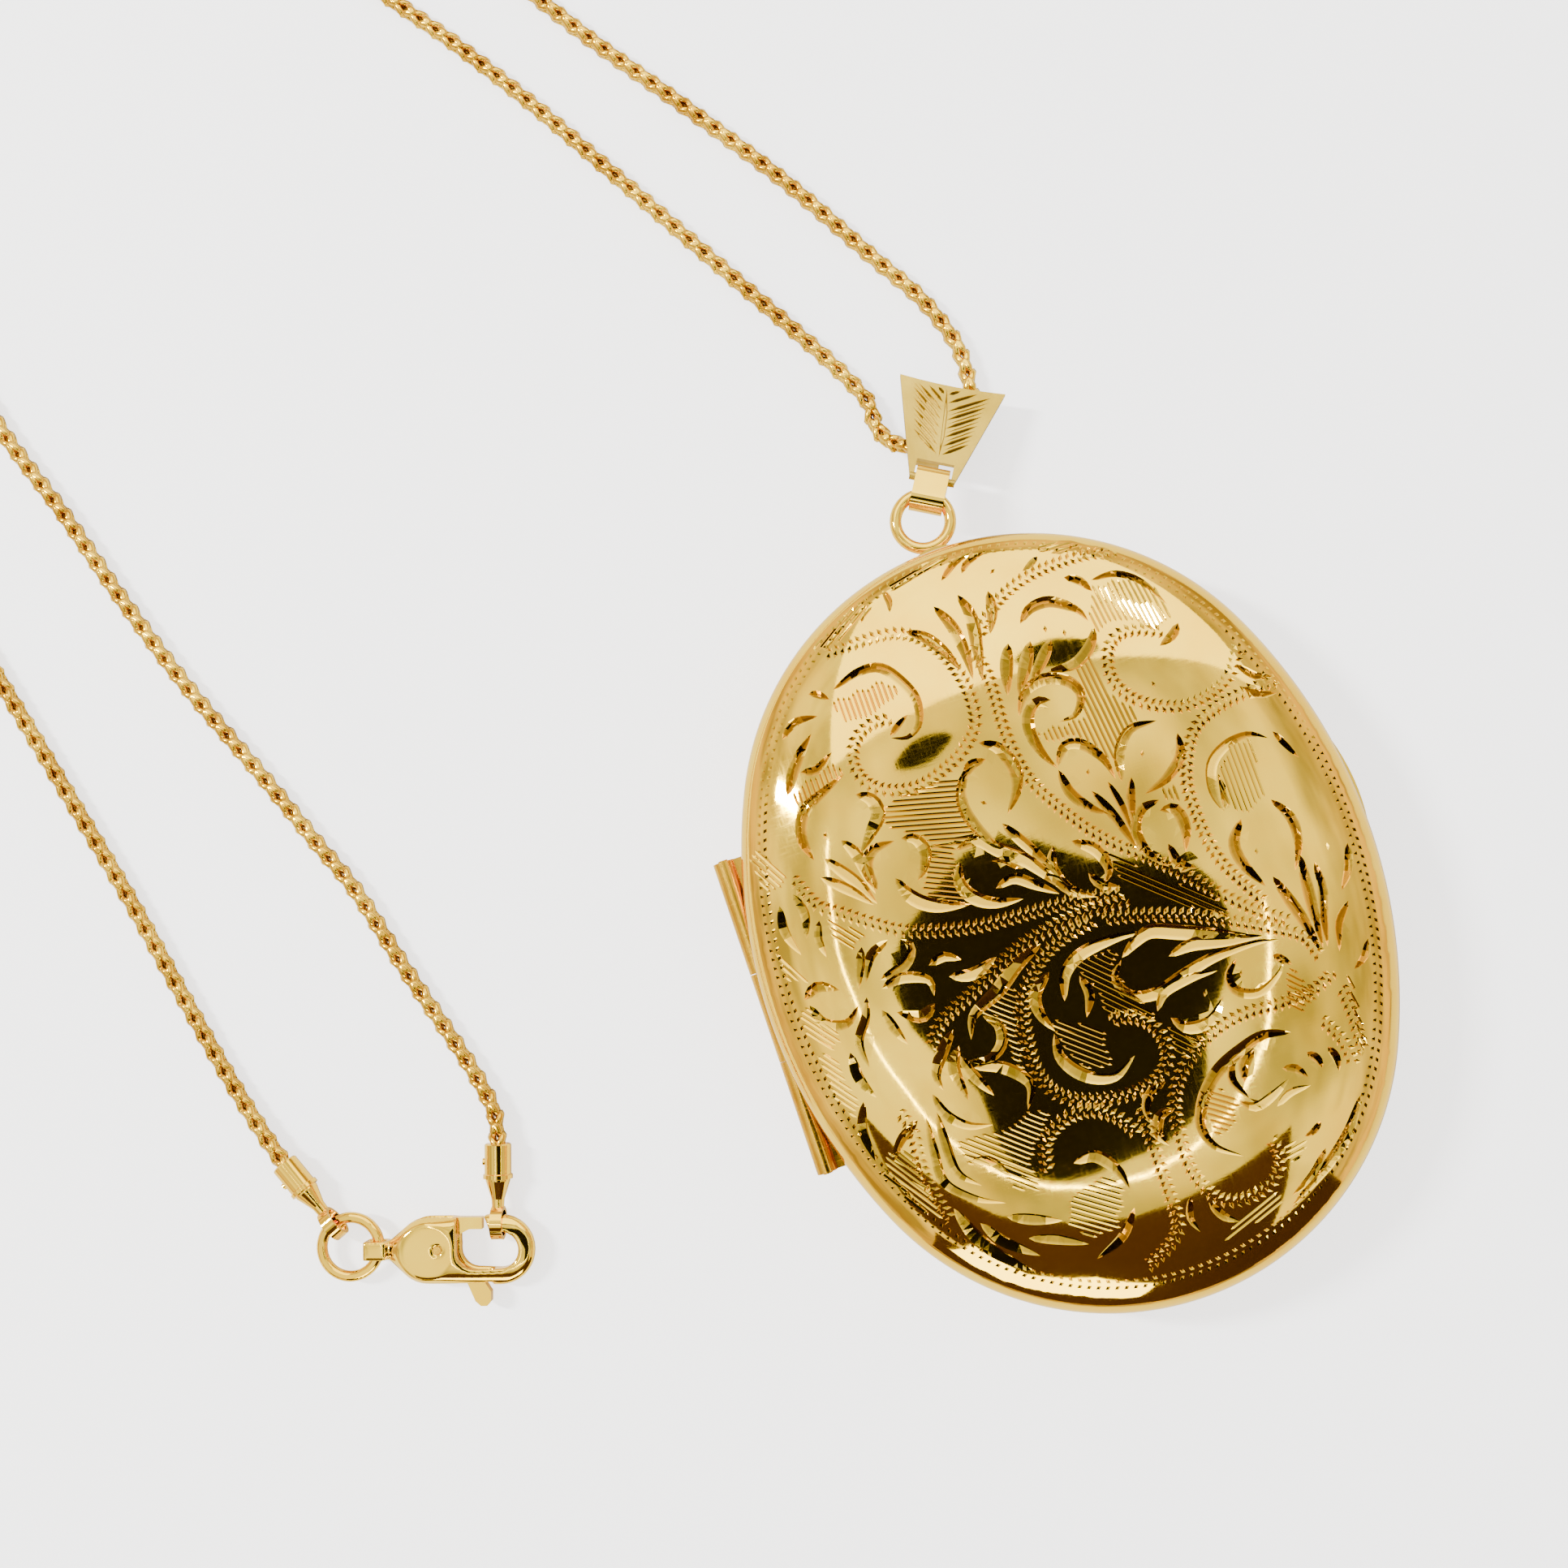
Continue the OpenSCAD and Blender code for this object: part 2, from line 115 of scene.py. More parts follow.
# %% The route that the chain lies along
LOW = 0.65
ROUTE = [
    (-52.1, 1.4, 1.2), (-53, 4, 0.9), (-54.1, 8, LOW), (-55.4, 14, LOW), (-56.8, 20.8, LOW),
    (-58.5, 28, LOW), (-60.8, 37.5, LOW), (-63.5, 48, LOW), (-66, 58.5, LOW), (-68.5, 70, LOW),
    (-69.8, 81, LOW), (-69.5, 91.5, LOW), (-67, 101, LOW), (-62, 108.5, LOW), (-54.5, 112.5, LOW),
    (-46, 111.5, LOW), (-38, 106.5, LOW), (-31, 98.5, LOW), (-24.5, 89, LOW), (-18, 79, LOW),
    (-12.2, 69.5, LOW), (-9.4, 65, LOW), (-5, 58.5, LOW), (-0.7, 51.8, LOW), (3, 45.1, LOW),
    (5.1, 41.3, LOW), (6.2, 38, LOW), (6.3, 36, 0.7), (6.1, 34.6, 0.85), (5.8, 33.4, 1.1),
    (5.3, 32.4, 1.4), (4.6, 31.6, 1.8), (3.7, 31.3, 2.1), (2.6, 31.3, 2.35), (1.5, 31.7, 2.2),
    (0.5, 32.3, 1.7), (-0.2, 33.2, 1.15), (-0.5, 34.5, 0.8), (-0.5, 36.1, LOW), (-1.7, 38.9, LOW),
    (-3.7, 42.6, LOW), (-7, 48.5, LOW), (-11.5, 56.6, LOW), (-15, 62.8, LOW), (-18.6, 68.6, LOW),
    (-21.6, 72.9, LOW), (-26, 79.5, LOW), (-32, 88.5, LOW), (-38.5, 96.5, LOW),
    (-46, 102, LOW), (-53.5, 101.5, LOW), (-59, 95.5, LOW), (-61.3, 86, LOW), (-60.6, 75, LOW),
    (-58.4, 64, LOW), (-55.8, 53.8, LOW), (-53.5, 47, LOW), (-51.4, 40, LOW), (-49, 33, LOW),
    (-45.9, 25.4, LOW), (-44, 20.5, LOW), (-42.4, 16.4, LOW), (-40.9, 10.6, LOW),
    (-39.2, 4.8, LOW), (-38.5, 2, 0.75), (-38.2, 0, 1), (-38.5, -1.9, 1.2),
]


def smooth_line(points, per_step=12):
    """A smooth curve through the points, and how far along it each of its own points lies."""
    p = np.array(points, float)
    p = np.vstack([2 * p[0] - p[1], p, 2 * p[-1] - p[-2]])
    t = np.linspace(0, 1, per_step, endpoint=False)[:, None]
    out = []
    for a, b, c, d in zip(p[:-3], p[1:-2], p[2:-1], p[3:]):
        out.append(b + 0.5 * t * (c - a + t * (2 * a - 5 * b + 4 * c - d
                                              + t * (3 * (b - c) + d - a))))
    line = np.vstack(out + [p[-2][None]])
    far = np.concatenate([[0], np.cumsum(np.linalg.norm(np.diff(line, axis=0), axis=1))])
    return line, far


chain_line, chain_far = smooth_line(ROUTE)
farthest = np.array(ROUTE)
chain_line[:, 0] = np.maximum(chain_line[:, 0], farthest[:, 0].min())
chain_line[:, 1] = np.minimum(chain_line[:, 1], farthest[:, 1].max())
chain_length = chain_far[-1]
print("chain length in mm:", round(chain_length, 1))

# %% The links
PITCH = 1.336        # from one V to the next on the same side
LINK_WIRE = 0.225     # radius of the link's wire
LINK_HALF = 0.4     # half of the link's width, to the middle of its wire
LINK_DEEP = 0.26     # how far the wire's middle stands off the chain's middle
LINK_V = 0.92        # how far the V's arms trail behind its point


def frame_along(line, far, s):
    """The point at distance s, and the directions ahead, to the side and up there."""
    k = min(max(int(np.searchsorted(far, s, side="right")) - 1, 0), len(line) - 2)
    t = (s - far[k]) / (far[k + 1] - far[k])
    point = line[k] * (1 - t) + line[k + 1] * t
    ahead = line[min(k + 2, len(line) - 1)] - line[max(k - 1, 0)]
    ahead /= np.linalg.norm(ahead)
    side = np.cross(ahead, (0, 0, 1))
    side /= np.linalg.norm(side)
    return point, ahead, side, np.cross(side, ahead)


def link_shape(around=14, sides=6):
    """Points of one link: u along the chain, v across, w up."""
    t = 2 * np.pi * np.arange(around) / around
    v, w = LINK_HALF * np.cos(t), LINK_DEEP * np.sin(t)
    middle = np.stack([0.3 - LINK_V * (np.abs(v) / LINK_HALF) ** 1.25, v, w], 1)
    along = np.roll(middle, -1, 0) - np.roll(middle, 1, 0)
    along /= np.linalg.norm(along, axis=1)[:, None]
    out = middle * (0, 1, 1)
    out -= (out * along).sum(1)[:, None] * along
    out /= np.linalg.norm(out, axis=1)[:, None]
    other = np.cross(along, out)
    a = 2 * np.pi * np.arange(sides) / sides
    ring = np.cos(a)[None, :, None] * out[:, None] + 1.15 * np.sin(a)[None, :, None] * other[:, None]
    points = (middle[:, None] + LINK_WIRE * ring).reshape(-1, 3)
    faces = [(i * sides + j, i * sides + (j + 1) % sides,
              (i + 1) % around * sides + (j + 1) % sides, (i + 1) % around * sides + j)
             for i in range(around) for j in range(sides)]
    return points, np.array(faces)


def make_chain():
    shape, faces = link_shape()
    points, all_faces = [], []
    count = int((chain_length + 1.3) / (PITCH / 2))
    for n in range(count):
        s = n * PITCH / 2 - 0.4
        point, ahead, side, up = frame_along(chain_line, chain_far, s)
        if n % 2:
            side, up = up, -side
        grown = shape[:, :1] * ahead + shape[:, 1:2] * side + shape[:, 2:] * up + point
        all_faces.append(faces + len(shape) * n)
        points.append(grown)
    points = np.vstack(points)
    points[:, 1] -= MIDDLE_Y
    points[:, 2] = np.maximum(points[:, 2], 0.03)
    return make_piece("wheat_chain", points * MM, np.vstack(all_faces), "necklace",
                      ["chain"])


chain = make_chain()

# %% [markdown]
# ## The shape of the covers
# Each cover is stamped from thin sheet over an oval die. The oval is drawn as a jeweller's
# template is: two wide arcs for the sides and two tight arcs for the ends. The dome rises
# steeply at the edge and is nearly flat in the middle, so a rounded-off ellipse describes it.

# %% The oval and the dome as functions
HALF_LENGTH, HALF_WIDTH, END_RADIUS = 24, 19.1, 17.7
SEAM, WALL_TOP, DOME_HEIGHT, DOME_POWER = 5.2, 6.2, 4.2, 2.2
SEAM_GAP, METAL = 0.05, 0.45
HINGE_X, HINGE_END, NOTCH = -18.8, 10, 0.8
SIDE_RADIUS = ((HALF_LENGTH - END_RADIUS) ** 2 + HALF_WIDTH ** 2 - END_RADIUS ** 2) / (
    2 * (HALF_WIDTH - END_RADIUS))
SIDE_CENTRE = SIDE_RADIUS - HALF_WIDTH
END_CENTRE = HALF_LENGTH - END_RADIUS


def oval_reach(angle, inset=0.0):
    """How far the oval lies from its centre in each direction."""
    c, s = np.abs(np.cos(angle)), np.abs(np.sin(angle))
    side, end = SIDE_RADIUS - inset, END_RADIUS - inset
    to_side = np.sqrt(np.maximum((SIDE_CENTRE * c) ** 2 + side ** 2 - SIDE_CENTRE ** 2, 0))
    to_end = np.sqrt(np.maximum((END_CENTRE * s) ** 2 + end ** 2 - END_CENTRE ** 2, 0))
    meet_y = END_CENTRE * SIDE_RADIUS / math.hypot(SIDE_CENTRE, END_CENTRE)
    meet_x = meet_y * SIDE_CENTRE / END_CENTRE - SIDE_CENTRE
    return np.where(np.arctan2(s, c) < math.atan2(meet_y, meet_x),
                    to_side - SIDE_CENTRE * c, to_end + END_CENTRE * s)


def dome_height(x, y, inset=0.0, rise=DOME_HEIGHT):
    """Height of the front cover's outside over a point, from the locket's own centre."""
    rho = np.clip(np.hypot(x, y) / oval_reach(np.arctan2(y, x), inset), 0, 1)
    return WALL_TOP + rise * (1 - rho ** DOME_POWER) ** (1 / DOME_POWER)


def dome_normal(x, y):
    """The polished surface's own direction, for shading without facets."""
    e = 0.02
    dx = (dome_height(x + e, y) - dome_height(x - e, y)) / (2 * e)
    dy = (dome_height(x, y + e) - dome_height(x, y - e)) / (2 * e)
    n = np.stack([-dx, -dy, np.ones_like(dx)], 1)
    return n / np.linalg.norm(n, axis=1)[:, None]


print("dome height at the middle in mm:", float(dome_height(np.array([0.0]), np.array([0.0]))[0]))

# %% [markdown]
# ## The engraving
# An engraver pushes a sharp graver through the gold. A leaf stroke starts as a point, swells
# as the tool leans over, and runs out to a point again. One wall of such a cut is steep and
# the other is wide and bright. Ropes are rows of short slanting cuts, and shaded fields are
# fine parallel lines. Each kind is written below as a few points in millimetres,
# and the cuts become real grooves in the mesh, so that they catch the light from every side.

# %% Leaf and scroll strokes: greatest width, then points along the stroke
LEAVES = [
    (.45, (-8.9, 17.5), (-7.2, 18), (-5.8, 17.8), (-4.9, 16.6), (-4.4, 15.2), (-4.7, 13.8),
     (-5.6, 13.2), (-6.6, 13.5)),
    (.28, (-6.6, 13.6), (-5.9, 14.1), (-5.2, 14.5)), (.32, (-10.4, 17.8), (-9.9, 17.6), (-9.3, 17)),
    (.4, (-12.8, 15.7), (-11.8, 16.4), (-10.3, 16.3)), (.4, (-12.4, 13.4), (-11.4, 13.2), (-10.2, 13.9)),
    (.5, (-13.6, 12.3), (-12.5, 14), (-11, 15.4)),
    (.5, (-13.3, 8.1), (-13.6, 9.6), (-12.9, 11.1), (-11.2, 11.9), (-9.9, 12.4)),
    (.6, (-9.7, 11), (-8.9, 10.4), (-8.8, 9.4), (-9.6, 8.5), (-10.5, 7.6)),
    (.5, (-12.7, 8), (-12, 7), (-11.2, 5.8), (-10.6, 4.4)), (.5, (-11.4, 8.7), (-10.8, 7.6),
     (-10.6, 6.2), (-10.5, 5)),
    (.45, (-13.3, 7), (-12.4, 6.2), (-11.6, 5.4), (-10.8, 4.4)), (.5, (-10.3, 5.2), (-10.5, 6.6),
     (-9.8, 7.5), (-8.4, 7.6)),
    (.5, (-8, 7.6), (-7.2, 7.3), (-6.9, 6.4), (-7.3, 5.5), (-7.9, 4.9)), (.6, (-9.1, 5.5),
     (-8.6, 4.2), (-7.4, 3.2), (-5.4, 2.6)),
    (.55, (-5.2, 5.2), (-5.6, 4), (-5.1, 2.9), (-4, 2.2), (-2.4, 1.9)),
    (.6, (-5.2, 5.9), (-3.8, 6), (-2.8, 5.1), (-1.5, 4), (-0.2, 2.2), (0.6, 1.2)),
    (.45, (-3.7, 3), (-2.5, 3.2), (-1.4, 2.4), (-0.3, 1.5)), (.45, (-2.1, 6.5), (-1.5, 5.4),
     (-0.8, 4.2), (-0.1, 3)),
    (.5, (-2.7, 5.1), (-3.6, 6.8), (-3.9, 8.4), (-3.3, 9.8), (-2.1, 10.3)),
    (.55, (-1.8, 11.5), (-0.8, 10.8), (-0.3, 9.4), (-0.6, 8.1), (-1.6, 6.9)), (.4, (-3.2, 10.2),
     (-2.5, 10.4), (-1.7, 10.4)),
    (.5, (-3.6, 19.4), (-2.6, 18.6), (-1.8, 17.3), (-1.3, 16)), (.5, (-1.5, 20.3), (-0.9, 18.8),
     (-0.7, 17), (-0.8, 15.2)),
    (.55, (0.1, 20.5), (0.4, 19), (0.1, 17), (-0.3, 15)), (.45, (1.9, 20.1), (1.7, 18.8), (1.1, 17.5)),
    (.3, (-4, 22.4), (-3.9, 21.6), (-4.1, 20.9)), (.3, (-0.5, 21.7), (0.6, 22.5), (1.9, 22.9)),
     (.3, (0.8, 21.7), (1.4, 22.3), (2.6, 22.6)),
    (.5, (3, 17.5), (3.9, 18.2), (5.2, 18.2), (6.5, 17.2), (6.9, 16.3)), (.5, (7.1, 15.8),
     (6.4, 14.8), (5.2, 14.1), (3.4, 14.2)),
    (.55, (1.9, 16.6), (1.3, 15.2), (0.8, 13.6)), (.55, (3.2, 16.3), (2.3, 14.8), (1.4, 13.4)),
     (.5, (4.4, 16), (3.3, 14.8), (2.4, 13.9)),
    (.5, (1, 12.2), (1.9, 13.5), (3.3, 13.8), (4.5, 13.2), (4.9, 12.2), (4.2, 11.2), (3.1, 11.1)),
    (.5, (3.1, 12.5), (2.3, 12.7), (1.5, 12), (1.3, 10.8), (1.6, 9.5), (2.1, 8.5)),
    (.45, (2.1, 8.6), (2.9, 9.6), (3.9, 9.4), (4.8, 8.2), (5.1, 6.8)), (.45, (2.1, 8.4),
     (2.3, 6.9), (3.1, 5.7), (4, 5)),
    (.45, (5.4, 6.5), (5.8, 8.1), (6.9, 9.3), (8.6, 9.3)), (.45, (9.5, 8.2), (9.2, 6.9), (8, 5.9),
     (6.4, 5.4)),
    (.4, (3.5, 6.6), (4.1, 5.2), (4.6, 3.6), (4.9, 2.4)), (.32, (4.6, 6.8), (4.9, 5), (4.9, 3.3)),
     (.38, (6, 6.6), (5.5, 5.3), (5.1, 3.8)),
    (.45, (7.1, 4.8), (5.9, 4.6), (5.2, 3.6), (5.4, 2.1), (6.3, 0.9)), (.5, (6.9, 4.2), (7.8, 4),
     (8, 2.8), (7.5, 1.4)),
    (.4, (6.7, 2.2), (6.9, 1), (7.8, 0.3)), (.4, (6.5, 19.4), (7.3, 18.9), (7.8, 18)),
     (.32, (8, 18.7), (9.6, 18.6), (10.9, 17.6), (11.8, 15.8)),
    (.4, (12, 14.5), (11.4, 13.9), (10.4, 13.5)), (.45, (10.5, 2.9), (10.3, 4.3), (10.8, 5.8),
     (12, 6.6), (13.5, 6.8), (14.6, 6.2)),
    (.32, (10.6, 3), (10.9, 4), (10.9, 5)), (.5, (11.3, 2.2), (10.4, 1), (10.5, -0.4), (11.3, -2)),
    (.45, (13.4, 2.7), (14.2, 1.2), (14, -0.4), (13.3, -1.7)), (.5, (1.4, 4.2), (2.6, 3.2),
     (2.9, 1.9), (2.3, 1.2)),
    (.5, (0.3, 4.3), (-0.2, 3), (0.3, 1.6), (1.7, 0.6)), (.4, (1.7, 2.1), (2.2, 1.2), (3.2, 0.7)),
     (.3, (15, 6.5), (16, 4.5)),
    (.28, (5.5, 21.2), (4.8, 20.8), (4.3, 20.6)), (.35, (14.2, 9.6), (15, 8.9), (16.2, 8.6)),
     (.35, (14.4, 11), (15.3, 10), (16.4, 9.6)),
    (.5, (-2.1, -4.5), (-1.5, -3), (-0.2, -2.2), (2, -2), (3.6, -2.2)), (.6, (1.9, -3.2),
     (2.9, -2.6), (4, -2.3), (5.6, -2.9), (7.6, -3.7), (9.8, -4.6)),
    (.55, (4.5, -4), (6, -3.8), (8, -4.2), (10.2, -4.7)), (.5, (1.8, -3.3), (1.1, -4.2),
     (1.6, -5.4), (3, -5.8), (5, -5.3), (7, -4.9), (9.5, -4.9), (11, -5.2)),
    (.4, (2.8, -6.8), (3.6, -5.9), (5.3, -5.6), (6.9, -5.7)), (.5, (3.4, -7.4), (4.2, -8.3),
     (5.6, -8.3), (6.8, -7.2)),
    (.4, (8.2, -5.4), (7.4, -6.2), (7.6, -7.2), (8.8, -7.7), (10.2, -7.1), (10.8, -6.4)),
     (.35, (10.3, -5.9), (11.2, -6.8)),
    (.5, (11.9, -1.6), (12.3, -3), (12.8, -4.8), (13.1, -6.8)), (.5, (13.9, -0.9), (13.7, -2.5),
     (13.5, -4.5), (13.3, -6.5)),
    (.45, (14.6, -1.6), (14.5, -3.2), (14, -4.8), (13.6, -6.5)), (.4, (17, -1.2), (16.5, -2.6),
     (15.6, -3.7)),
    (.35, (16.2, -6.9), (15.6, -7.8), (14.7, -8.3)), (.35, (15.8, -4.4), (14.8, -5.4), (14.2, -7)),
    (.55, (9.8, -10.5), (8.2, -10.1), (6.6, -10.5), (5, -11.2), (3.7, -12.4), (3, -13.9),
     (3.4, -15.3), (4.8, -16.4)),
    (.5, (7.4, -10.7), (6.6, -11.3), (6.2, -12.4)), (.35, (6, -10.9), (5.6, -12), (6.2, -13.3)),
     (.4, (5.6, -13.3), (6.4, -13.9), (7.6, -13.6), (8.8, -13)),
    (.35, (8.6, -12.3), (9.4, -12.6), (9.9, -13.3)), (.32, (7.6, -14.3), (8.6, -13.8),
     (9.9, -13.8)), (.35, (10.3, -11.9), (10.8, -12.5), (10.9, -13.1)),
    (.35, (11.6, -12), (11.9, -12.8), (11.8, -13.6)), (.28, (9.8, -16), (9.2, -16.4), (8.6, -16.5)),
    (.4, (1.9, -10.8), (0.9, -11.1), (0.3, -11.9), (0.3, -12.8)), (.45, (1.8, -12.4),
     (0.9, -12.6), (0.5, -13.6), (0.9, -14.4)),
    (.6, (-2.3, -0.9), (-4, -1.6), (-5.6, -2.7), (-7.4, -3.6), (-8, -4.9)), (.45, (-6.9, -3.8),
     (-6.2, -4.6), (-6.4, -5.7), (-7.4, -6.3), (-8.6, -6)),
    (.5, (-8.8, -4), (-9.8, -5), (-10.6, -6.2), (-10.5, -7.2)), (.5, (-8.8, -5), (-9.5, -6.2),
     (-9.3, -8.2)), (.45, (-8.9, -5.6), (-8.6, -6.8), (-7.8, -8.4)),
    (.5, (-8.4, -6.5), (-6.8, -7), (-5.6, -8.4), (-6.2, -9.8)), (.5, (-2.4, -2.6), (-3.6, -3.6),
     (-3.7, -4.8), (-3.2, -6)),
    (.5, (-3.3, -6.1), (-3.4, -7.6), (-2.4, -9), (-0.8, -9.6), (0.7, -8.8)), (.4, (-0.8, -3.4),
     (-0.6, -4.6), (-1.2, -5.8)),
    (.45, (-12, -0.4), (-10.6, -0.2), (-9.2, -0.8), (-9.2, -1.8)), (.5, (-9.3, -2.2),
     (-10.3, -2.7), (-11.6, -2)),
    (.45, (-11.9, 0.1), (-10.2, 0.5), (-9.5, 1.4), (-10, 2)), (.4, (-8.9, 0), (-7.9, 0.2),
     (-7, -0.3)), (.5, (-8, -1), (-6.6, -1.3), (-5, -0.8)),
    (.4, (-13, -0.6), (-13.5, -1.8), (-14.3, -3), (-14.2, -4.6)), (.4, (-12.4, -1.6), (-12, -3),
     (-11.6, -4)),
    (.45, (-16.4, 0), (-15.9, -1.3), (-14.6, -1.7), (-13.6, -0.9)), (.45, (-16.6, 0.4),
     (-15.6, 0.9), (-14.4, 0.3)),
    (.4, (-12.3, 2.3), (-12.9, 1), (-13.3, 0)), (.4, (-10.7, 2.2), (-12, 1.6), (-12.8, 0.2)),
     (.45, (-15, -3.4), (-15, -5), (-14.4, -6.4)),
    (.4, (-11.2, -7.2), (-10.8, -8.6), (-9.8, -9.6), (-8.4, -10)), (.4, (-11.3, -8.3),
     (-11.4, -10), (-11.3, -12), (-10.2, -13.2)),
    (.4, (-12, -8.4), (-12.2, -10.5), (-12.2, -12.4), (-10.8, -13.8), (-9.2, -14.6)),
     (.38, (-10.3, -11.6), (-9.2, -12), (-8.4, -13.2)),
    (.55, (-12.2, -14), (-11.6, -15.8), (-10.6, -17.4), (-9, -19)), (.45, (-11, -15.3),
     (-10, -16.8), (-8.3, -18.2)),
    (.45, (-9.4, -15.4), (-8, -16), (-6.4, -16.6)), (.4, (-8.6, -17), (-7, -17.6), (-5.4, -18.4)),
     (.5, (-4.7, -13.6), (-3.4, -13.6), (-2.4, -14.8), (-2.1, -16)),
    (.38, (-2.2, -17.2), (-3.4, -18.6), (-5.2, -19.4)), (.4, (-15.2, -6.4), (-15.8, -8),
     (-15.7, -10)), (.38, (-12.5, -8.4), (-13.8, -9.2), (-14.8, -10.4)),
    (.4, (-16.2, 6.2), (-16.4, 4.6), (-15.9, 3)), (.4, (-15.2, 6.6), (-14.9, 5.2), (-15.3, 3.8)),
     (.35, (-14.2, 4.6), (-14.6, 3.6), (-14.5, 2.4)),
    (.3, (1.1, -17.6), (0.7, -18.8), (1, -19.8)), (.35, (2, -18.3), (2.6, -19.4), (3.4, -20)),
     (.35, (9.6, -17.6), (8.4, -18.8), (6.8, -19.6)),
    (.5, (12.6, -15.4), (11.2, -17.2), (9.4, -18.6), (6.6, -20.2)), (.35, (-1.9, 3.6),
     (-2.6, 4.4), (-3.4, 4.6)),
]
print("leaf strokes:", len(LEAVES))

# %% Ropes, and shaded fields: the direction of their lines in degrees, then the corners
ROPES = [
    ((-14.9, 7.5), (-14, 5.5), (-12.8, 4.6), (-11.2, 3.4), (-9.6, 2.4), (-7.5, 1.7), (-5, 1.2),
     (-2, 1), (0.8, 0.8), (3, 0.4)),
    ((-6.2, 14.6), (-7.4, 14.7), (-8.6, 14.1), (-9.2, 12.8), (-8.8, 11.4), (-7.6, 10.5),
     (-6, 10.2), (-4.4, 10.6), (-2.9, 11.3),
     (-1.6, 12.6), (-1.3, 14.4), (-1.6, 16.3), (-2.4, 18), (-3.6, 19.2), (-5.2, 19.7), (-8.6, 19.8)),
    ((-0.3, 17.2), (0.1, 15), (-0.1, 12), (0, 10), (0.4, 8.2), (1.4, 6.3), (2.6, 4.5), (4, 3),
     (5.4, 1.8), (7, 0.2), (8.5, -1.4), (10, -2.9), (12, -4.4)),
    ((0.4, 17.5), (1.2, 18.5), (2.6, 19.5), (4.6, 20.2), (7.5, 20.4), (10.2, 20.1)),
    ((10.9, 14.3), (9.4, 14.9), (8.2, 14.9), (7.3, 14.1), (7, 12.6), (7.6, 11.2), (8.8, 10.2),
     (10.5, 9.6), (12.3, 9.8), (13.8, 10.5), (15, 12)),
    ((16.4, 9.4), (14, 9.2), (12, 8.8), (10.5, 8), (9.6, 6.7), (9, 5.2), (8.9, 3.4), (9, 1.6),
     (9.4, 0), (10.2, -1.6), (11, -3)),
    ((0, -6.4), (1.2, -6.6), (2.2, -7.4), (2.6, -8.6), (2.3, -9.8), (1.2, -10.6), (-0.4, -10.8),
     (-2, -10.6), (-3.6, -10), (-4.6, -9),
     (-5, -7.5), (-4.9, -6), (-4.6, -4.4), (-3.8, -2.9), (-2.5, -1.7), (-1, -1), (1, -0.6)),
    ((1.6, -0.7), (3.4, -1.1), (5, -1.6), (6.6, -2.2), (8.6, -3.2), (10.6, -4.3), (12.4, -5.5), (13, -7)),
    ((13.4, -8), (12, -8.6), (9.8, -8.7), (7.4, -8.6), (5.5, -9), (3.8, -9.9), (2.6, -11),
     (1.9, -12.4), (1.7, -14), (1.6, -15.6),
     (1.9, -17), (2.8, -18.4), (4.4, -18.8), (6, -18.3), (6.8, -17.2), (6.7, -16)),
    ((0.1, -11.6), (0, -14), (0, -17), (-0.1, -19), (-1, -20), (-2.6, -20.8)), ((13.6, -9),
     (13.7, -11), (13.6, -13)),
    ((11.8, -10.4), (12.6, -12), (12.8, -13.6)),
    ((3.4, -0.1), (1, 0), (-1.4, -0.2), (-3.6, -0.7), (-5.2, -1.4), (-7, -2.3), (-8.6, -3),
     (-9.6, -3.6), (-10.4, -4.6)),
    ((-13.4, -7.6), (-13, -9), (-13.2, -11), (-13, -13), (-12.6, -14.6)),
    ((-6.3, -13.6), (-5.8, -11.9), (-4.4, -11), (-2.8, -11), (-1.4, -11.9), (-0.6, -13.2)),
]
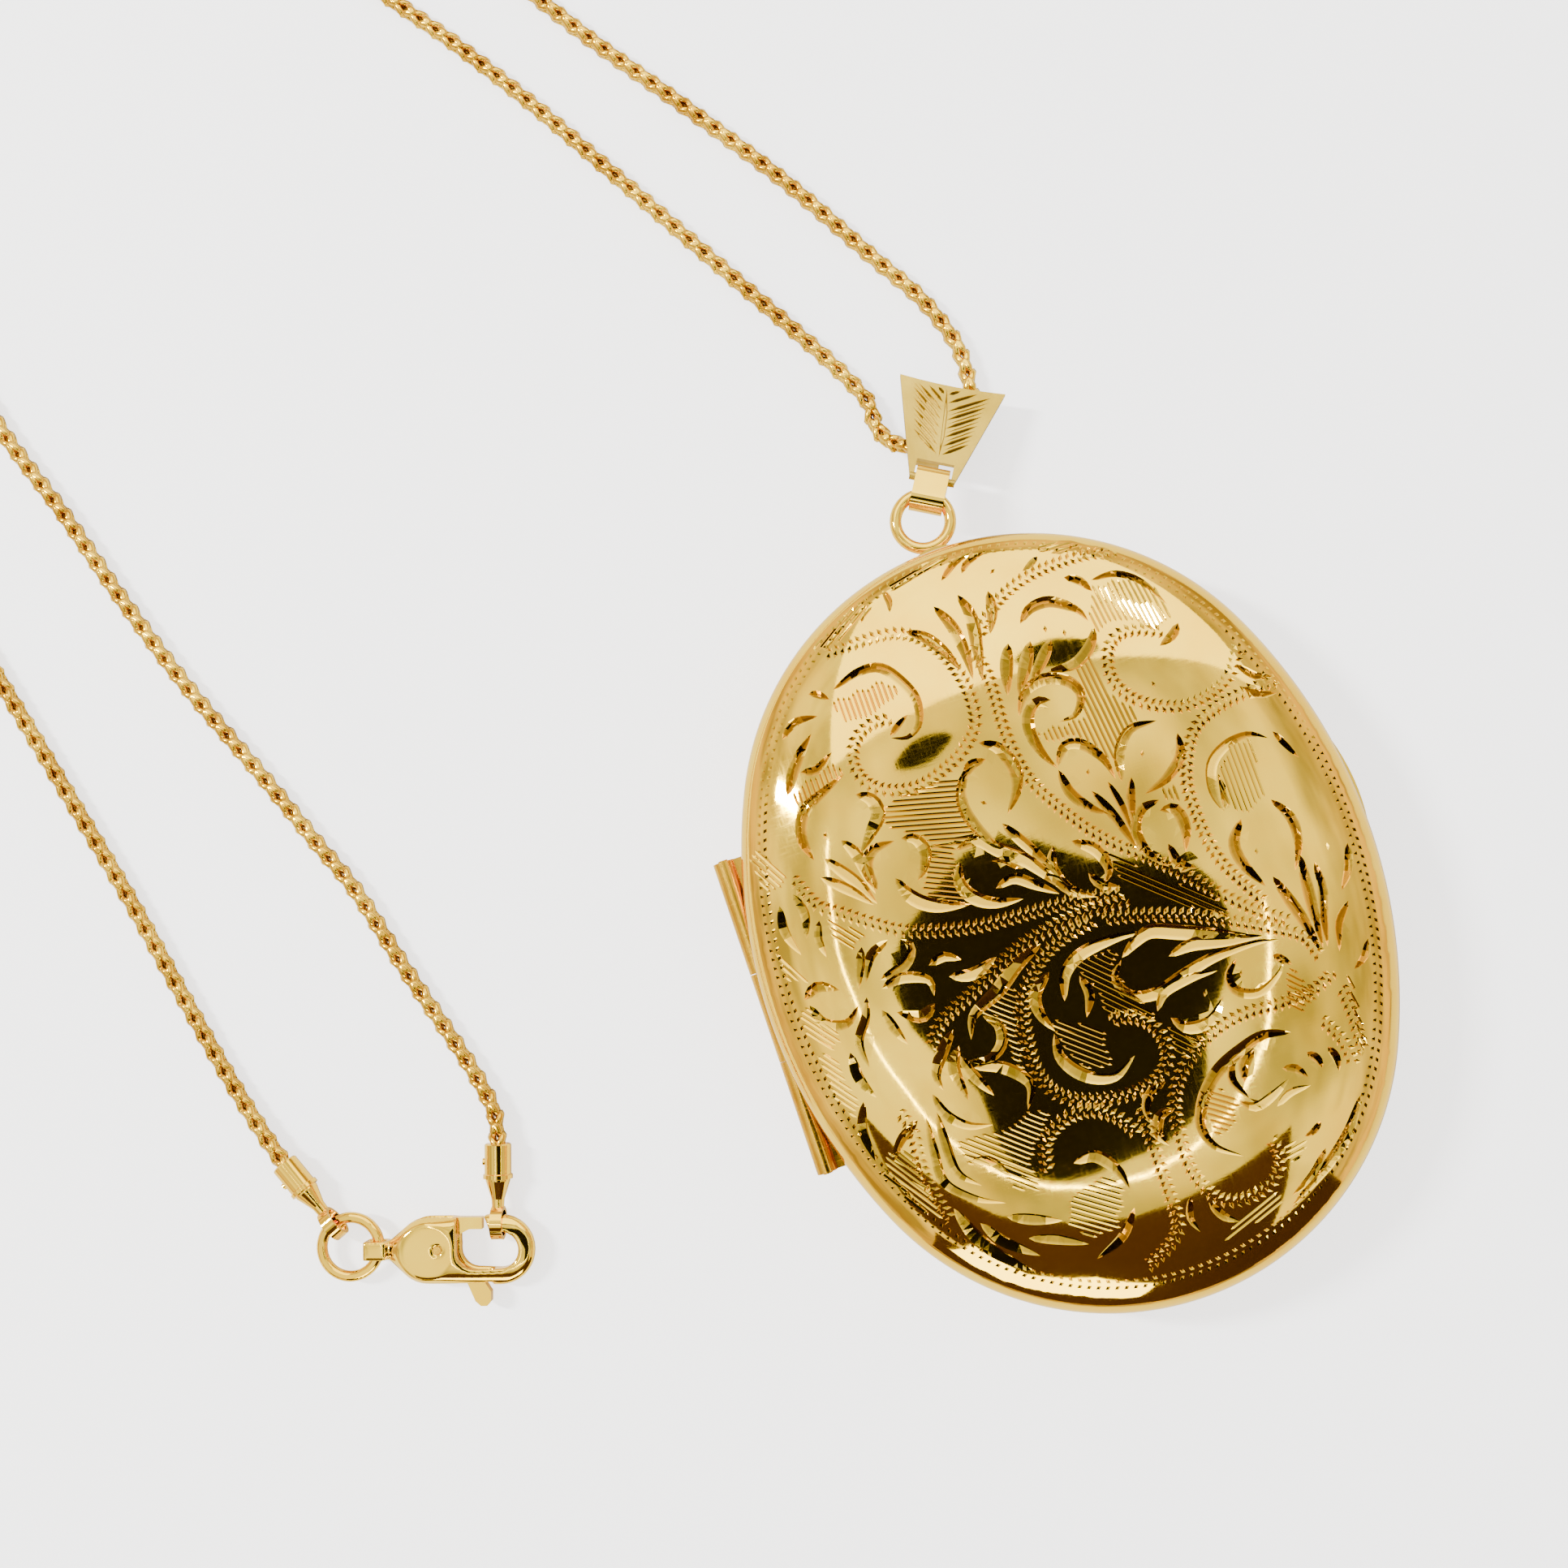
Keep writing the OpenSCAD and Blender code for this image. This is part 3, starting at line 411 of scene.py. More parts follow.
FIELDS = [
    (-15, (-8.7, 9.2), (-7.5, 10), (-4.5, 10.2), (-3.6, 9.6), (-3.8, 7.5), (-3.4, 6), (-5.2, 6.2),
     (-6.4, 6.6), (-7, 7.6), (-8.3, 8.2)),
    (-25, (-6.8, 6.6), (-5, 6.3), (-5.8, 4), (-5.3, 2.8), (-6.8, 3.2), (-8, 4.4), (-6.9, 5.6)),
    (90, (-9.3, 16.8), (-6, 17), (-5.3, 16.4), (-5.5, 15.6), (-7, 15.3), (-8.7, 15.2)),
    (90, (-13.3, 12.4), (-10.3, 13.4), (-10, 12.4), (-13, 11)),
    (-60, (-17.1, 9.6), (-16.5, 9.8), (-15, 7.6), (-16.8, 7)),
    (-60, (-17.5, 4.4), (-15.8, 1.2), (-17.2, 1.8)),
    (-50, (-13.8, 4.6), (-11.8, 3), (-12.8, 2.2), (-13.8, 3.6)),
    (95, (8, 18.2), (10, 18.2), (11.5, 17), (11.7, 15), (10.4, 14.4), (9.6, 15.6), (8, 15.7),
     (7, 15.4), (7.2, 16.8)),
    (95, (5.2, 14), (6.4, 14), (6.3, 12), (7.3, 10.7), (7.5, 9.7), (6.2, 9), (5.3, 7.8), (4.7, 9),
     (3.6, 10), (2.2, 10.2), (1.6, 11), (4.5, 10.9), (5.1, 12.3)),
    (90, (11, 3), (10.9, 5), (12.2, 6.5), (13.5, 6.6), (13.2, 3), (12, 2.4)),
    (90, (7.3, 5.5), (8.3, 5.4), (8.2, 4.3), (7.5, 4.5)),
    (-42, (3, 3.2), (5, 1), (8, -1.5), (9, -3.2), (6, -1.2), (3.4, 1.2)),
    (0, (5.5, 22), (8.5, 21.5), (8, 21), (5.8, 21.2)),
    (33, (-9.2, 20.5), (-5.5, 22.3), (-5, 21.5), (-8.5, 19.9)),
    (12, (-3.8, 22.6), (0, 23.4), (0.5, 22.9), (-3.5, 22.2)),
    (-40, (-7, -3.7), (-5, -2.4), (-4.5, -3.2), (-5.2, -5), (-5.6, -7.5), (-6.2, -6.7), (-6, -5)),
    (-40, (-3.3, -5.3), (-1.5, -6.2), (-0.6, -7), (-0.8, -9), (-2.3, -8.5), (-3.1, -7)),
    (-45, (-0.8, -2.8), (1.9, -2.4), (1.2, -4), (2.2, -6), (2.7, -7.3), (1, -6.3), (-0.2, -6),
     (-0.1, -4.5)),
    (-45, (3, -7.8), (4.3, -8.8), (5, -9), (3.8, -9.8), (3, -9.3)),
    (-40, (-10.8, -10.3), (-8, -10.5), (-6.3, -10), (-5.2, -10.3), (-5.5, -11), (-7, -12.5),
     (-7, -14.6), (-8.5, -13.8), (-9, -12.3), (-10.5, -11.8)),
    (-35, (-5.6, -15.6), (-3.4, -14.7), (-2.4, -16), (-3.5, -18), (-5, -18.1), (-6.3, -16.8)),
    (-50, (-17.3, -0.1), (-16.5, 0), (-15.2, -2.5), (-16, -3), (-17.2, -1.5)),
    (-50, (-16.9, -3), (-16, -3.2), (-15.5, -6.5), (-16, -7.2), (-16.9, -5.5)),
    (-55, (-14.9, -9.8), (-13.5, -10), (-13, -14.5), (-14.3, -13.3), (-15.6, -10.8)),
    (-45, (10.6, -7.3), (11.2, -7), (12, -9), (11, -9.6), (10, -8.8)),
    (-35, (3.4, -12.6), (4.8, -12.2), (5.6, -13.5), (4.5, -14.9), (3.6, -14.6)),
    (10, (7.3, -16.3), (8.7, -16.9), (7.8, -18), (7, -17.5)),
    (20, (2, -21), (6.2, -19.8), (6.3, -19), (3, -20)),
    (-80, (14.5, -8.5), (14.1, -8.6), (13.3, -13.2), (13.9, -13)),
]
PICKS = [(-2.7, 8, -40), (3.7, 7.7, 60), (7.1, 7.7, 60), (2.6, 21.2, 30), (15.7, -1, 80),
         (11.5, 0.1, 70), (4.3, 16.7, 80),
         (5.3, 16.1, 80), (-5.8, 21.1, 60), (5.8, -6.7, 60), (8.2, -6.3, 60), (-12.2, 9.3, 60),
          (9.2, 11.4, 100)]
print("ropes and fields:", len(ROPES), len(FIELDS))

# %% Turning strokes into outlines
cuts = []            # one entry a cut: its middle line, its half widths and where it is deepest


def add_leaf(width, points, lean=0.45, step=0.32):
    """A stroke that swells from a point and runs out to a point."""
    line, far = smooth_line([(x, y, 0) for x, y in points], 10)
    count = max(6, int(far[-1] / step))
    s = np.linspace(0, far[-1], count + 1)
    middle = np.stack([np.interp(s, far, line[:, k]) for k in (0, 1)], 1)
    t = s / far[-1]
    half = width / 2 * np.sin(np.pi * t ** 0.8) ** 0.7
    half[[0, -1]] = 0
    cuts.append((middle, half, lean))


def add_dash(x, y, degrees, length, width):
    """A short straight cut, widest in its middle."""
    along = np.array((math.cos(math.radians(degrees)), math.sin(math.radians(degrees))))
    middle = np.array((x, y)) + np.outer((-length / 2, 0, length / 2), along)
    cuts.append((middle, np.array((0, width / 2, 0)), 0.3))


def add_rope(points, pitch=0.45):
    """Two rows of short cuts that lean against each other along a line."""
    line, far = smooth_line([(x, y, 0) for x, y in points], 10)
    for n, s in enumerate(np.arange(0.1, far[-1], pitch / 2)):
        point, ahead, side, _ = frame_along(line, far, s)
        way = 1 if n % 2 else -1
        at = point + way * 0.23 * side
        lean = ahead * 0.55 + way * side
        add_dash(at[0], at[1], math.degrees(math.atan2(lean[1], lean[0])), 0.56, 0.28)


def add_field(degrees, corners, pitch=0.31):
    """Fine parallel lines inside a shape."""
    turn = math.radians(degrees)
    along, across = np.array((math.cos(turn), math.sin(turn))), np.array((-math.sin(turn), math.cos(turn)))
    c = np.array(corners, float)
    c = c.mean(0) + 1.05 * (c - c.mean(0))
    u, v = c @ along, c @ across
    for n, level in enumerate(np.arange(v.min() + pitch / 2, v.max(), pitch)):
        ends = []
        for i in range(len(c)):
            j = (i + 1) % len(c)
            if (v[i] - level) * (v[j] - level) < 0:
                ends.append(u[i] + (level - v[i]) / (v[j] - v[i]) * (u[j] - u[i]))
        ends.sort()
        for a, b in zip(ends[::2], ends[1::2]):
            a, b = a + 0.12 * math.sin(7 * n), b + 0.12 * math.sin(11 * n)
            if b - a > 0.4:
                s = np.array((a, a + 0.2, (a + b) / 2, b - 0.2, b))
                cuts.append((np.outer(s, along) + level * across,
                             np.array((0, 0.085, 0.09, 0.085, 0)), 0.2))


def add_border(inset, pitch, turn, shift=0.0):
    """A row of small wedge cuts round the dome, inside its plain edge."""
    a = np.linspace(0, 2 * np.pi, 2000)
    r = oval_reach(a, inset)
    x, y = r * np.cos(a), r * np.sin(a) + 0.5
    far = np.concatenate([[0], np.cumsum(np.hypot(np.diff(x), np.diff(y)))])
    count = int(far[-1] / pitch)
    for s in (np.arange(count) + shift) * far[-1] / count:
        px, py = np.interp(s, far, x), np.interp(s, far, y)
        qx, qy = np.interp((s + 0.1) % far[-1], far, x), np.interp((s + 0.1) % far[-1], far, y)
        add_dash(px, py, math.degrees(math.atan2(qy - py, qx - px)) + turn, 0.36, 0.24)


LEAF_WIDENING = 1.5  # how much wider a leaf is cut than its stroke is listed
for width, *points in LEAVES:
    add_leaf(LEAF_WIDENING * width, points)
for points in ROPES:
    add_rope(points)
for degrees, *corners in FIELDS:
    add_field(degrees, corners)
for x, y, degrees in PICKS:
    add_dash(x, y, degrees, 0.45, 0.24)
add_border(1.35, 0.55, 35)
add_border(1.75, 0.55, -35, 0.5)
print("cuts:", len(cuts))

# %% [markdown]
# ## The two cover shells
# The middle of the engraved cover is one sheet of triangles that follows the edges and the
# deepest line of every cut. Outside it come rings of four-sided faces down to the seam, and
# a second skin inside gives the metal its thickness. The back cover is made in the same way,
# without cuts, and turned over. Where the hinge's tube lies, the wall stops above it.

# %% How deep the cuts are at any point
AROUND, RIM_RHO = 288, 0.972
DEEPEST = 0.24       # the deepest that a cut may be
CUT_SLOPE = 0.9      # how deep a cut is for each millimetre of its half width
angles = 2 * np.pi * np.arange(AROUND) / AROUND


def over_cuts(points, cuts, grow=0.0):
    """The depth of the engraving at each point, and whether a cut is closer than grow."""
    depth, near = np.zeros(len(points)), np.zeros(len(points), bool)
    order = np.argsort(points[:, 0])
    sorted_x = points[order, 0]
    for middle, half, lean in cuts:
        edge = half.max() + grow
        low, high = middle.min(0) - edge, middle.max(0) + edge
        pick = order[np.searchsorted(sorted_x, low[0]):np.searchsorted(sorted_x, high[0])]
        pick = pick[(points[pick, 1] > low[1]) & (points[pick, 1] < high[1])]
        if not len(pick):
            continue
        a, step = middle[:-1], np.diff(middle, axis=0)
        size = (step ** 2).sum(1)
        off = points[pick][:, None] - a[None]
        t = np.clip((off * step).sum(2) / size, 0, 1)
        h = half[:-1] * (1 - t) + half[1:] * t
        gap = off - t[..., None] * step
        d = np.linalg.norm(gap, axis=2) * np.sign(step[:, 0] * gap[..., 1] - step[:, 1] * gap[..., 0])
        near[pick] |= (np.abs(d) < h + grow).any(1)
        deepest = lean * h
        wall = np.where(d > deepest, (h - d) / (h - deepest + 1e-9), (h + d) / (h + deepest + 1e-9))
        depth[pick] = np.maximum(depth[pick], np.minimum(np.clip(wall, 0, 1) * h * CUT_SLOPE, DEEPEST).max(1))
    return depth, near


# %% A flat sheet of triangles that follows every cut
def inside(points, outline):
    """Which points lie inside a closed outline."""
    result = np.zeros(len(points), bool)
    for (ax, ay), (bx, by) in zip(outline, np.roll(outline, -1, 0)):
        crosses = (ay > points[:, 1]) != (by > points[:, 1])
        at = ax + (points[:, 1] - ay) / (by - ay + 1e-12) * (bx - ax)
        result ^= crosses & (points[:, 0] < at)
    return result


def cut_sheet(outline, cuts, spacing):
    """Points, faces and depths of the sheet. Its first points are the outline's own."""
    size = len(outline)
    rows = [outline]
    edges = [(i, (i + 1) % size) for i in range(size)]
    count = size
    for middle, half, lean in cuts:
        along = np.gradient(middle, axis=0)
        along /= np.linalg.norm(along, axis=1)[:, None]
        left = np.stack([-along[:, 1], along[:, 0]], 1)
        n = len(middle)
        bottom = middle + left * (lean * half)[:, None]
        rows += [bottom, (middle + left * half[:, None])[1:-1], (middle - left * half[:, None])[1:-1]]
        deep = list(range(count, count + n))
        first = [deep[0]] + list(range(count + n, count + 2 * n - 2)) + [deep[-1]]
        other = [deep[0]] + list(range(count + 2 * n - 2, count + 3 * n - 4)) + [deep[-1]]
        for path in (deep, first, other):
            edges += zip(path[:-1], path[1:])
        count += 3 * n - 4
    low, high = outline.min(0), outline.max(0)
    x, y = np.meshgrid(np.arange(low[0], high[0], spacing), np.arange(low[1], high[1], spacing * 0.866))
    x[::2] += spacing / 2
    fill = np.stack([x.ravel(), y.ravel()], 1)
    away = np.linalg.norm(fill[:, None] - outline[None], axis=2).min(1) > 0.45 * spacing
    fill = fill[inside(fill, outline) & away]
    rows.append(fill[~over_cuts(fill, cuts, 0.25 * spacing)[1]])
    out, _, faces, source, _, _ = delaunay_2d_cdt(
        [Vector(p) for p in np.vstack(rows)], edges, [], 0, 0.004, True)
    ring = {n: i for i, ids in enumerate(source) for n in ids if n < size}
    first = [ring[n] for n in range(size)]
    taken = set(first)
    order = first + [i for i in range(len(out)) if i not in taken]
    place = {old: new for new, old in enumerate(order)}
    flat = np.array([tuple(out[i]) for i in order])
    faces = np.array([[place[i] for i in f] for f in faces])
    faces = faces[inside(flat[faces].mean(1), outline)]
    return flat, [tuple(f) for f in faces], over_cuts(flat, cuts)[0]


# %% A cover shell from its middle, its rings, its wall and its inner skin
def hinge_clear(x, y, leaf_from, leaf_to, leaf_x):
    """The lowest the wall may reach beside the hinge, above the seam."""
    tube = np.where(np.abs(x - HINGE_X) < NOTCH,
                    np.sqrt(np.maximum(NOTCH ** 2 - (x - HINGE_X) ** 2, 0)), 0)
    tube = np.where(np.abs(y) < HINGE_END + 0.1, tube, 0)
    by_leaf = (np.abs(y) > leaf_from) & (np.abs(y) < leaf_to) & (x < leaf_x) & (x > HINGE_X)
    return SEAM + np.maximum(np.maximum(tube, SEAM_GAP), np.where(by_leaf, 0.82, 0))


def ring_faces(outer, inner):
    n = AROUND
    return [(outer + i, outer + (i + 1) % n, inner + (i + 1) % n, inner + i) for i in range(n)]


def cover_shell(name, body, node, leaf, engraved):
    if engraved:
        reach = RIM_RHO * oval_reach(angles)
        outline = np.stack([reach * np.cos(angles), reach * np.sin(angles)], 1)
        flat, faces, depth = cut_sheet(outline, cuts, 0.62)
        z = dome_height(flat[:, 0], flat[:, 1])
        normal = dome_normal(flat[:, 0], flat[:, 1])
        points = [np.column_stack([flat, z]) - normal * depth[:, None]]
    else:
        reach = RIM_RHO * oval_reach(angles)
        rhos = np.sin(np.linspace(math.asin(0.97), 0.03, 26))
        flat = np.vstack([np.stack([reach * r * np.cos(angles), reach * r * np.sin(angles)], 1)
                          for r in np.concatenate([[1], rhos])] + [np.zeros((1, 2))])
        faces = [f for k in range(26) for f in ring_faces(k * AROUND, (k + 1) * AROUND)]
        last = len(flat) - 1
        faces += [(last - AROUND + i, last - AROUND + (i + 1) % AROUND, last) for i in range(AROUND)]
        depth = np.zeros(len(flat))
        normal = dome_normal(flat[:, 0], flat[:, 1])
        points = [np.column_stack([flat, dome_height(flat[:, 0], flat[:, 1])])]
    middle_faces = len(faces)
    count = len(flat)

    def add_ring(rho, inset, z):
        nonlocal count
        r = rho * oval_reach(angles, inset)
        x, y = r * np.cos(angles), r * np.sin(angles)
        points.append(np.column_stack([x, y, z(x, y) if callable(z) else np.full(AROUND, z)]))
        count += AROUND
        return count - AROUND

    def wall_foot(x, y):
        return hinge_clear(x, y, *leaf)

    before = 0
    for t in np.linspace(math.asin(RIM_RHO), math.pi / 2, 7)[1:]:
        now = add_ring(math.sin(t), 0, lambda x, y: dome_height(x, y))
        faces += ring_faces(now, before)
        before = now
    for part, inset in ((0.6, 0), (0.25, 0.0), (0.06, 0.01), (0, 0.06), (0, METAL)):
        now = add_ring(1, inset, lambda x, y: wall_foot(x, y) * (1 - part) + WALL_TOP * part)
        faces += ring_faces(now, before)
        before = now
    for rho in (1, 0.985, 0.94, 0.86, 0.74, 0.58, 0.4, 0.2):
        now = add_ring(rho, METAL, lambda x, y: dome_height(x, y, METAL, DOME_HEIGHT - METAL))
        faces += ring_faces(now, before)
        before = now
    points.append(np.array([[0, 0, WALL_TOP + DOME_HEIGHT - METAL]]))
    faces += [(before + (i + 1) % AROUND, before + i, count) for i in range(AROUND)]
    points = np.vstack(points)
    if not engraved:
        points[:, 2] = 2 * SEAM - points[:, 2]
        normal = normal * (1, 1, -1)
        faces = [f[::-1] for f in faces]
    points[:, 1] += LOCKET_Y - MIDDLE_Y
    cover = make_piece(name, points * MM, faces, body, [node])
    mesh = cover.data
    mesh.set_sharp_from_angle(angle=math.radians(40))
    zero = np.zeros(3)
    given = []
    for polygon in mesh.polygons:
        corners = list(polygon.vertices)
        plain = polygon.index < middle_faces and not any(depth[c] > 0.0015 for c in corners)
        if polygon.index < middle_faces and not plain:
            polygon.use_smooth = False
        given += [normal[c] if plain else zero for c in corners]
    mesh.normals_split_custom_set(given)
    cut = mesh.attributes.new("cut_depth", "FLOAT", "POINT")
    cut.data.foreach_set("value", np.concatenate([depth, np.zeros(len(points) - len(depth))]))
    return cover


front = cover_shell("engraved_cover", "locket_front", "front_cover",
                    (-1, 2.86, -17.55), True)
back = cover_shell("plain_cover", "locket_back", "back_cover",
                   (2.8, 10.1, -17.35), False)

# %% [markdown]
# ## The bail
# The bail is one strip of sheet. Its wide end is filed to a leaf, cut with a vein and slanting
# grooves, and its narrow end is folded under to carry the chain. The leaf is a cut sheet like
# the cover's middle, with a flat underside, and the fold is a band bent round two rounds.

# %% The bail's own frame, and the cuts in its leaf
RING_Y, BAIL_TURN, LEAF_TILT = 26.5, math.radians(-31), math.radians(-13.7)
SHEET, LEAF_LENGTH, FOOT, TOP = 0.35, 6.9, 1.45, 3.45
bail_place = (Matrix.Translation((0, RING_Y - MIDDLE_Y, 0)) @ Matrix.Rotation(BAIL_TURN, 4, "Z")
              @ Matrix.Translation((0, 2.84, 3.95)) @ Matrix.Rotation(LEAF_TILT, 4, "X"))


def put(points, place):
    """Points moved by a matrix."""
    points = np.asarray(points, float)
    m = np.array(place)
    return points @ m[:3, :3].T + m[:3, 3]


def leaf_cuts():
    made = []
    vein = np.array([(0.12, 1.5), (0.1, 3), (-0.05, 4.8), (-0.3, 6.5)])
    made.append((vein, np.array((0, 0.11, 0.12, 0)), 0.2))
    for n in range(8):
        y = 1.75 + 0.62 * n
        for way, slope in ((-1, 0.8), (1, 0.6)):
            start = np.array((0.1 - 0.05 * n + way * 0.16, y))
            reach = 0.84 * (FOOT + (TOP - FOOT) * (y + 0.8) / LEAF_LENGTH)
            end = np.array((way * reach, y + slope * reach))
            if end[1] > LEAF_LENGTH - 0.4:
                end = start + (end - start) * (LEAF_LENGTH - 0.4 - start[1]) / (end[1] - start[1])
            line = start + np.outer((0, 0.3, 0.7, 1), end - start)
            made.append((line, np.array((0, 0.12, 0.1, 0)), 0.4 * way))
            fine = line + np.array((0, 0.3)) + (end - start) * 0.04
            if fine[:, 1].max() < LEAF_LENGTH - 0.3:
                made.append((fine, np.array((0, 0.05, 0.05, 0)), 0.1))
    return made


# %% The leaf, its bar and its fold in one piece
def make_bail():
    top = [(x, LEAF_LENGTH - 0.18 * (1 - (x / TOP) ** 2)) for x in np.linspace(-TOP, TOP, 13)]
    outline = np.array([(-1.2, 0), (-FOOT, 0)] + top + [(FOOT, 0), (1.2, 0), (1.2, 1.2), (-1.2, 1.2)])[::-1]
    flat, faces, depth = cut_sheet(outline, leaf_cuts(), 0.4)
    n = len(flat)
    points = np.vstack([np.column_stack([flat, SHEET / 2 - depth * 1.3]),
                        np.column_stack([flat, np.full(n, -SHEET / 2)])])
    size = len(outline)
    faces = (faces + [tuple(i + n for i in f[::-1]) for f in faces]
             + [((i + 1) % size, i, i + n, (i + 1) % size + n) for i in range(size)])
    parts, all_faces, count = [points], list(faces), len(points)

    def add(more, more_faces):
        nonlocal count
        parts.append(more)
        all_faces.extend(tuple(i + count for i in f) for f in more_faces)
        count += len(more)

    turn = 2 * np.pi * np.arange(24) / 24
    ends = [np.column_stack([np.full(24, x), 0.25 * np.cos(turn), 0.25 * np.sin(turn)])
            for x in (-FOOT, FOOT)]
    add(np.vstack(ends), [tuple(range(24))[::-1], tuple(range(24, 48))]
        + [(i, (i + 1) % 24, (i + 1) % 24 + 24, i + 24) for i in range(24)])
    bends = ((2.6, 1.2), (5.4, 1.35))
    slope = math.asin((bends[1][1] - bends[0][1]) / (bends[1][0] - bends[0][0]))
    rows = []
    for less in (0.06, SHEET):
        for (y, r), start, end in ((bends[1], 90, -90 - math.degrees(slope)),
                                   (bends[0], -90 - math.degrees(slope), -270)):
            a = np.radians(np.linspace(start, end, 13))
            rows.append(np.column_stack([y + (r - less) * np.cos(a), SHEET / 2 - r + (r - less) * np.sin(a)]))
    outer, inner = np.vstack(rows[:2]), np.vstack(rows[2:])
    m = len(outer)
    band = np.vstack([np.column_stack([np.full(m, x), ring]) for x in (-1.4, 0.2) for ring in (outer, inner)])
    add(band, [f for i in range(m) for j in [(i + 1) % m] for f in (
        (i, j, j + 2 * m, i + 2 * m), (j + m, i + m, i + 3 * m, j + 3 * m),
        (j, i, i + m, j + m), (i + 2 * m, j + 2 * m, j + 3 * m, i + 3 * m))])
    piece = make_piece("leaf_bail", put(np.vstack(parts), bail_place) * MM, all_faces,
                       "necklace", ["bail"])
    piece.data.set_sharp_from_angle(angle=math.radians(20))
    cut = piece.data.attributes.new("cut_depth", "FLOAT", "POINT")
    cut.data.foreach_set("value", np.concatenate([depth, np.zeros(count - n)]))
    return piece


bail = make_bail()

# %% [markdown]
# ## Finishes
# Polished gold is mostly what it mirrors, so its own detail is slight: hair-fine wiping
# scratches and a faint warm tarnish in patches. These effects are node groups, so that every
# gold piece shares them. Inside the engraved cuts the colour is darkened as painted shade.

# %% A helper for node groups
def new_group(name, inputs, outputs):
    """A shader node group with float inputs that have given values."""
    group = bpy.data.node_groups.new(name, "ShaderNodeTree")
    for label, value in inputs:
        socket = group.interface.new_socket(label, in_out="INPUT", socket_type="NodeSocketFloat")
        socket.default_value = value
    for label, kind in outputs:
        group.interface.new_socket(label, in_out="OUTPUT", socket_type="NodeSocket" + kind)
    nodes = group.nodes
    return group, nodes, group.links.new, nodes.new("NodeGroupInput"), nodes.new("NodeGroupOutput")


def add_math(nodes, link, operation, a, b):
    node = nodes.new("ShaderNodeMath")
    node.operation = operation
    for socket, value in zip(node.inputs, (a, b)):
        if isinstance(value, (int, float)):
            socket.default_value = value
        else:
            link(value, socket)
    return node.outputs[0]


def add_noise(nodes, link, scale, detail=3.0, stretch=None):
    """Noise over the object's own place, drawn out along an axis if asked."""
    place = nodes.new("ShaderNodeTexCoord").outputs["Object"]
    if stretch:
        mapping = nodes.new("ShaderNodeMapping")
        mapping.inputs["Scale"].default_value = stretch
        link(place, mapping.inputs["Vector"])
        place = mapping.outputs[0]
    noise = nodes.new("ShaderNodeTexNoise")
    noise.inputs["Detail"].default_value = detail
    link(place, noise.inputs["Vector"])
    if isinstance(scale, (int, float)):
        noise.inputs["Scale"].default_value = scale
    else:
        link(scale, noise.inputs["Scale"])
    return noise.outputs[0]


# %% The wear of polished gold
def make_wear_group():
    group, nodes, link, given, out = new_group(
        "polished wear", [("Patch Scale", 260), ("Scratch Scale", 900), ("Strength", 0.5)],
        [("Tarnish", "Float"), ("Gloss", "Float"), ("Height", "Float")])
    patches = add_noise(nodes, link, given.outputs["Patch Scale"], 4)
    across = add_noise(nodes, link, given.outputs["Scratch Scale"], 2, (1, 9, 1))
    along = add_noise(nodes, link, given.outputs["Scratch Scale"], 2, (9, 1, 1))
    scratch = add_math(nodes, link, "MAXIMUM", across, along)
    link(add_math(nodes, link, "MULTIPLY", patches, given.outputs["Strength"]), out.inputs["Tarnish"])
    link(add_math(nodes, link, "MULTIPLY", scratch, given.outputs["Strength"]), out.inputs["Gloss"])
    link(scratch, out.inputs["Height"])
    return group


wear_group = make_wear_group()


def make_brush_group():
    """Fine parallel lines that an abrasive leaves."""
    group, nodes, link, given, out = new_group(
        "brush lines", [("Scale", 900)], [("Lines", "Float"), ("Cloud", "Float")])
    link(add_noise(nodes, link, given.outputs["Scale"], 3, (6, 0.5, 1)), out.inputs["Lines"])
    link(add_noise(nodes, link, 300, 3), out.inputs["Cloud"])
    return group


brush_group = make_brush_group()
print("node groups:", [g.name for g in bpy.data.node_groups])

# %% Gold
def mix_colour(nodes, link, mask, first, second):
    mix = nodes.new("ShaderNodeMix")
    mix.data_type = "RGBA"
    link(mask, mix.inputs["Factor"])
    for socket, value in ((mix.inputs["A"], first), (mix.inputs["B"], second)):
        if isinstance(value, tuple):
            socket.default_value = (*value, 1)
        else:
            link(value, socket)
    return mix.outputs["Result"]


def add_range(nodes, link, value, low, high, to_low, to_high):
    node = nodes.new("ShaderNodeMapRange")
    link(value, node.inputs["Value"])
    for label, number in zip(("From Min", "From Max", "To Min", "To Max"), (low, high, to_low, to_high)):
        node.inputs[label].default_value = number
    return node.outputs[0]


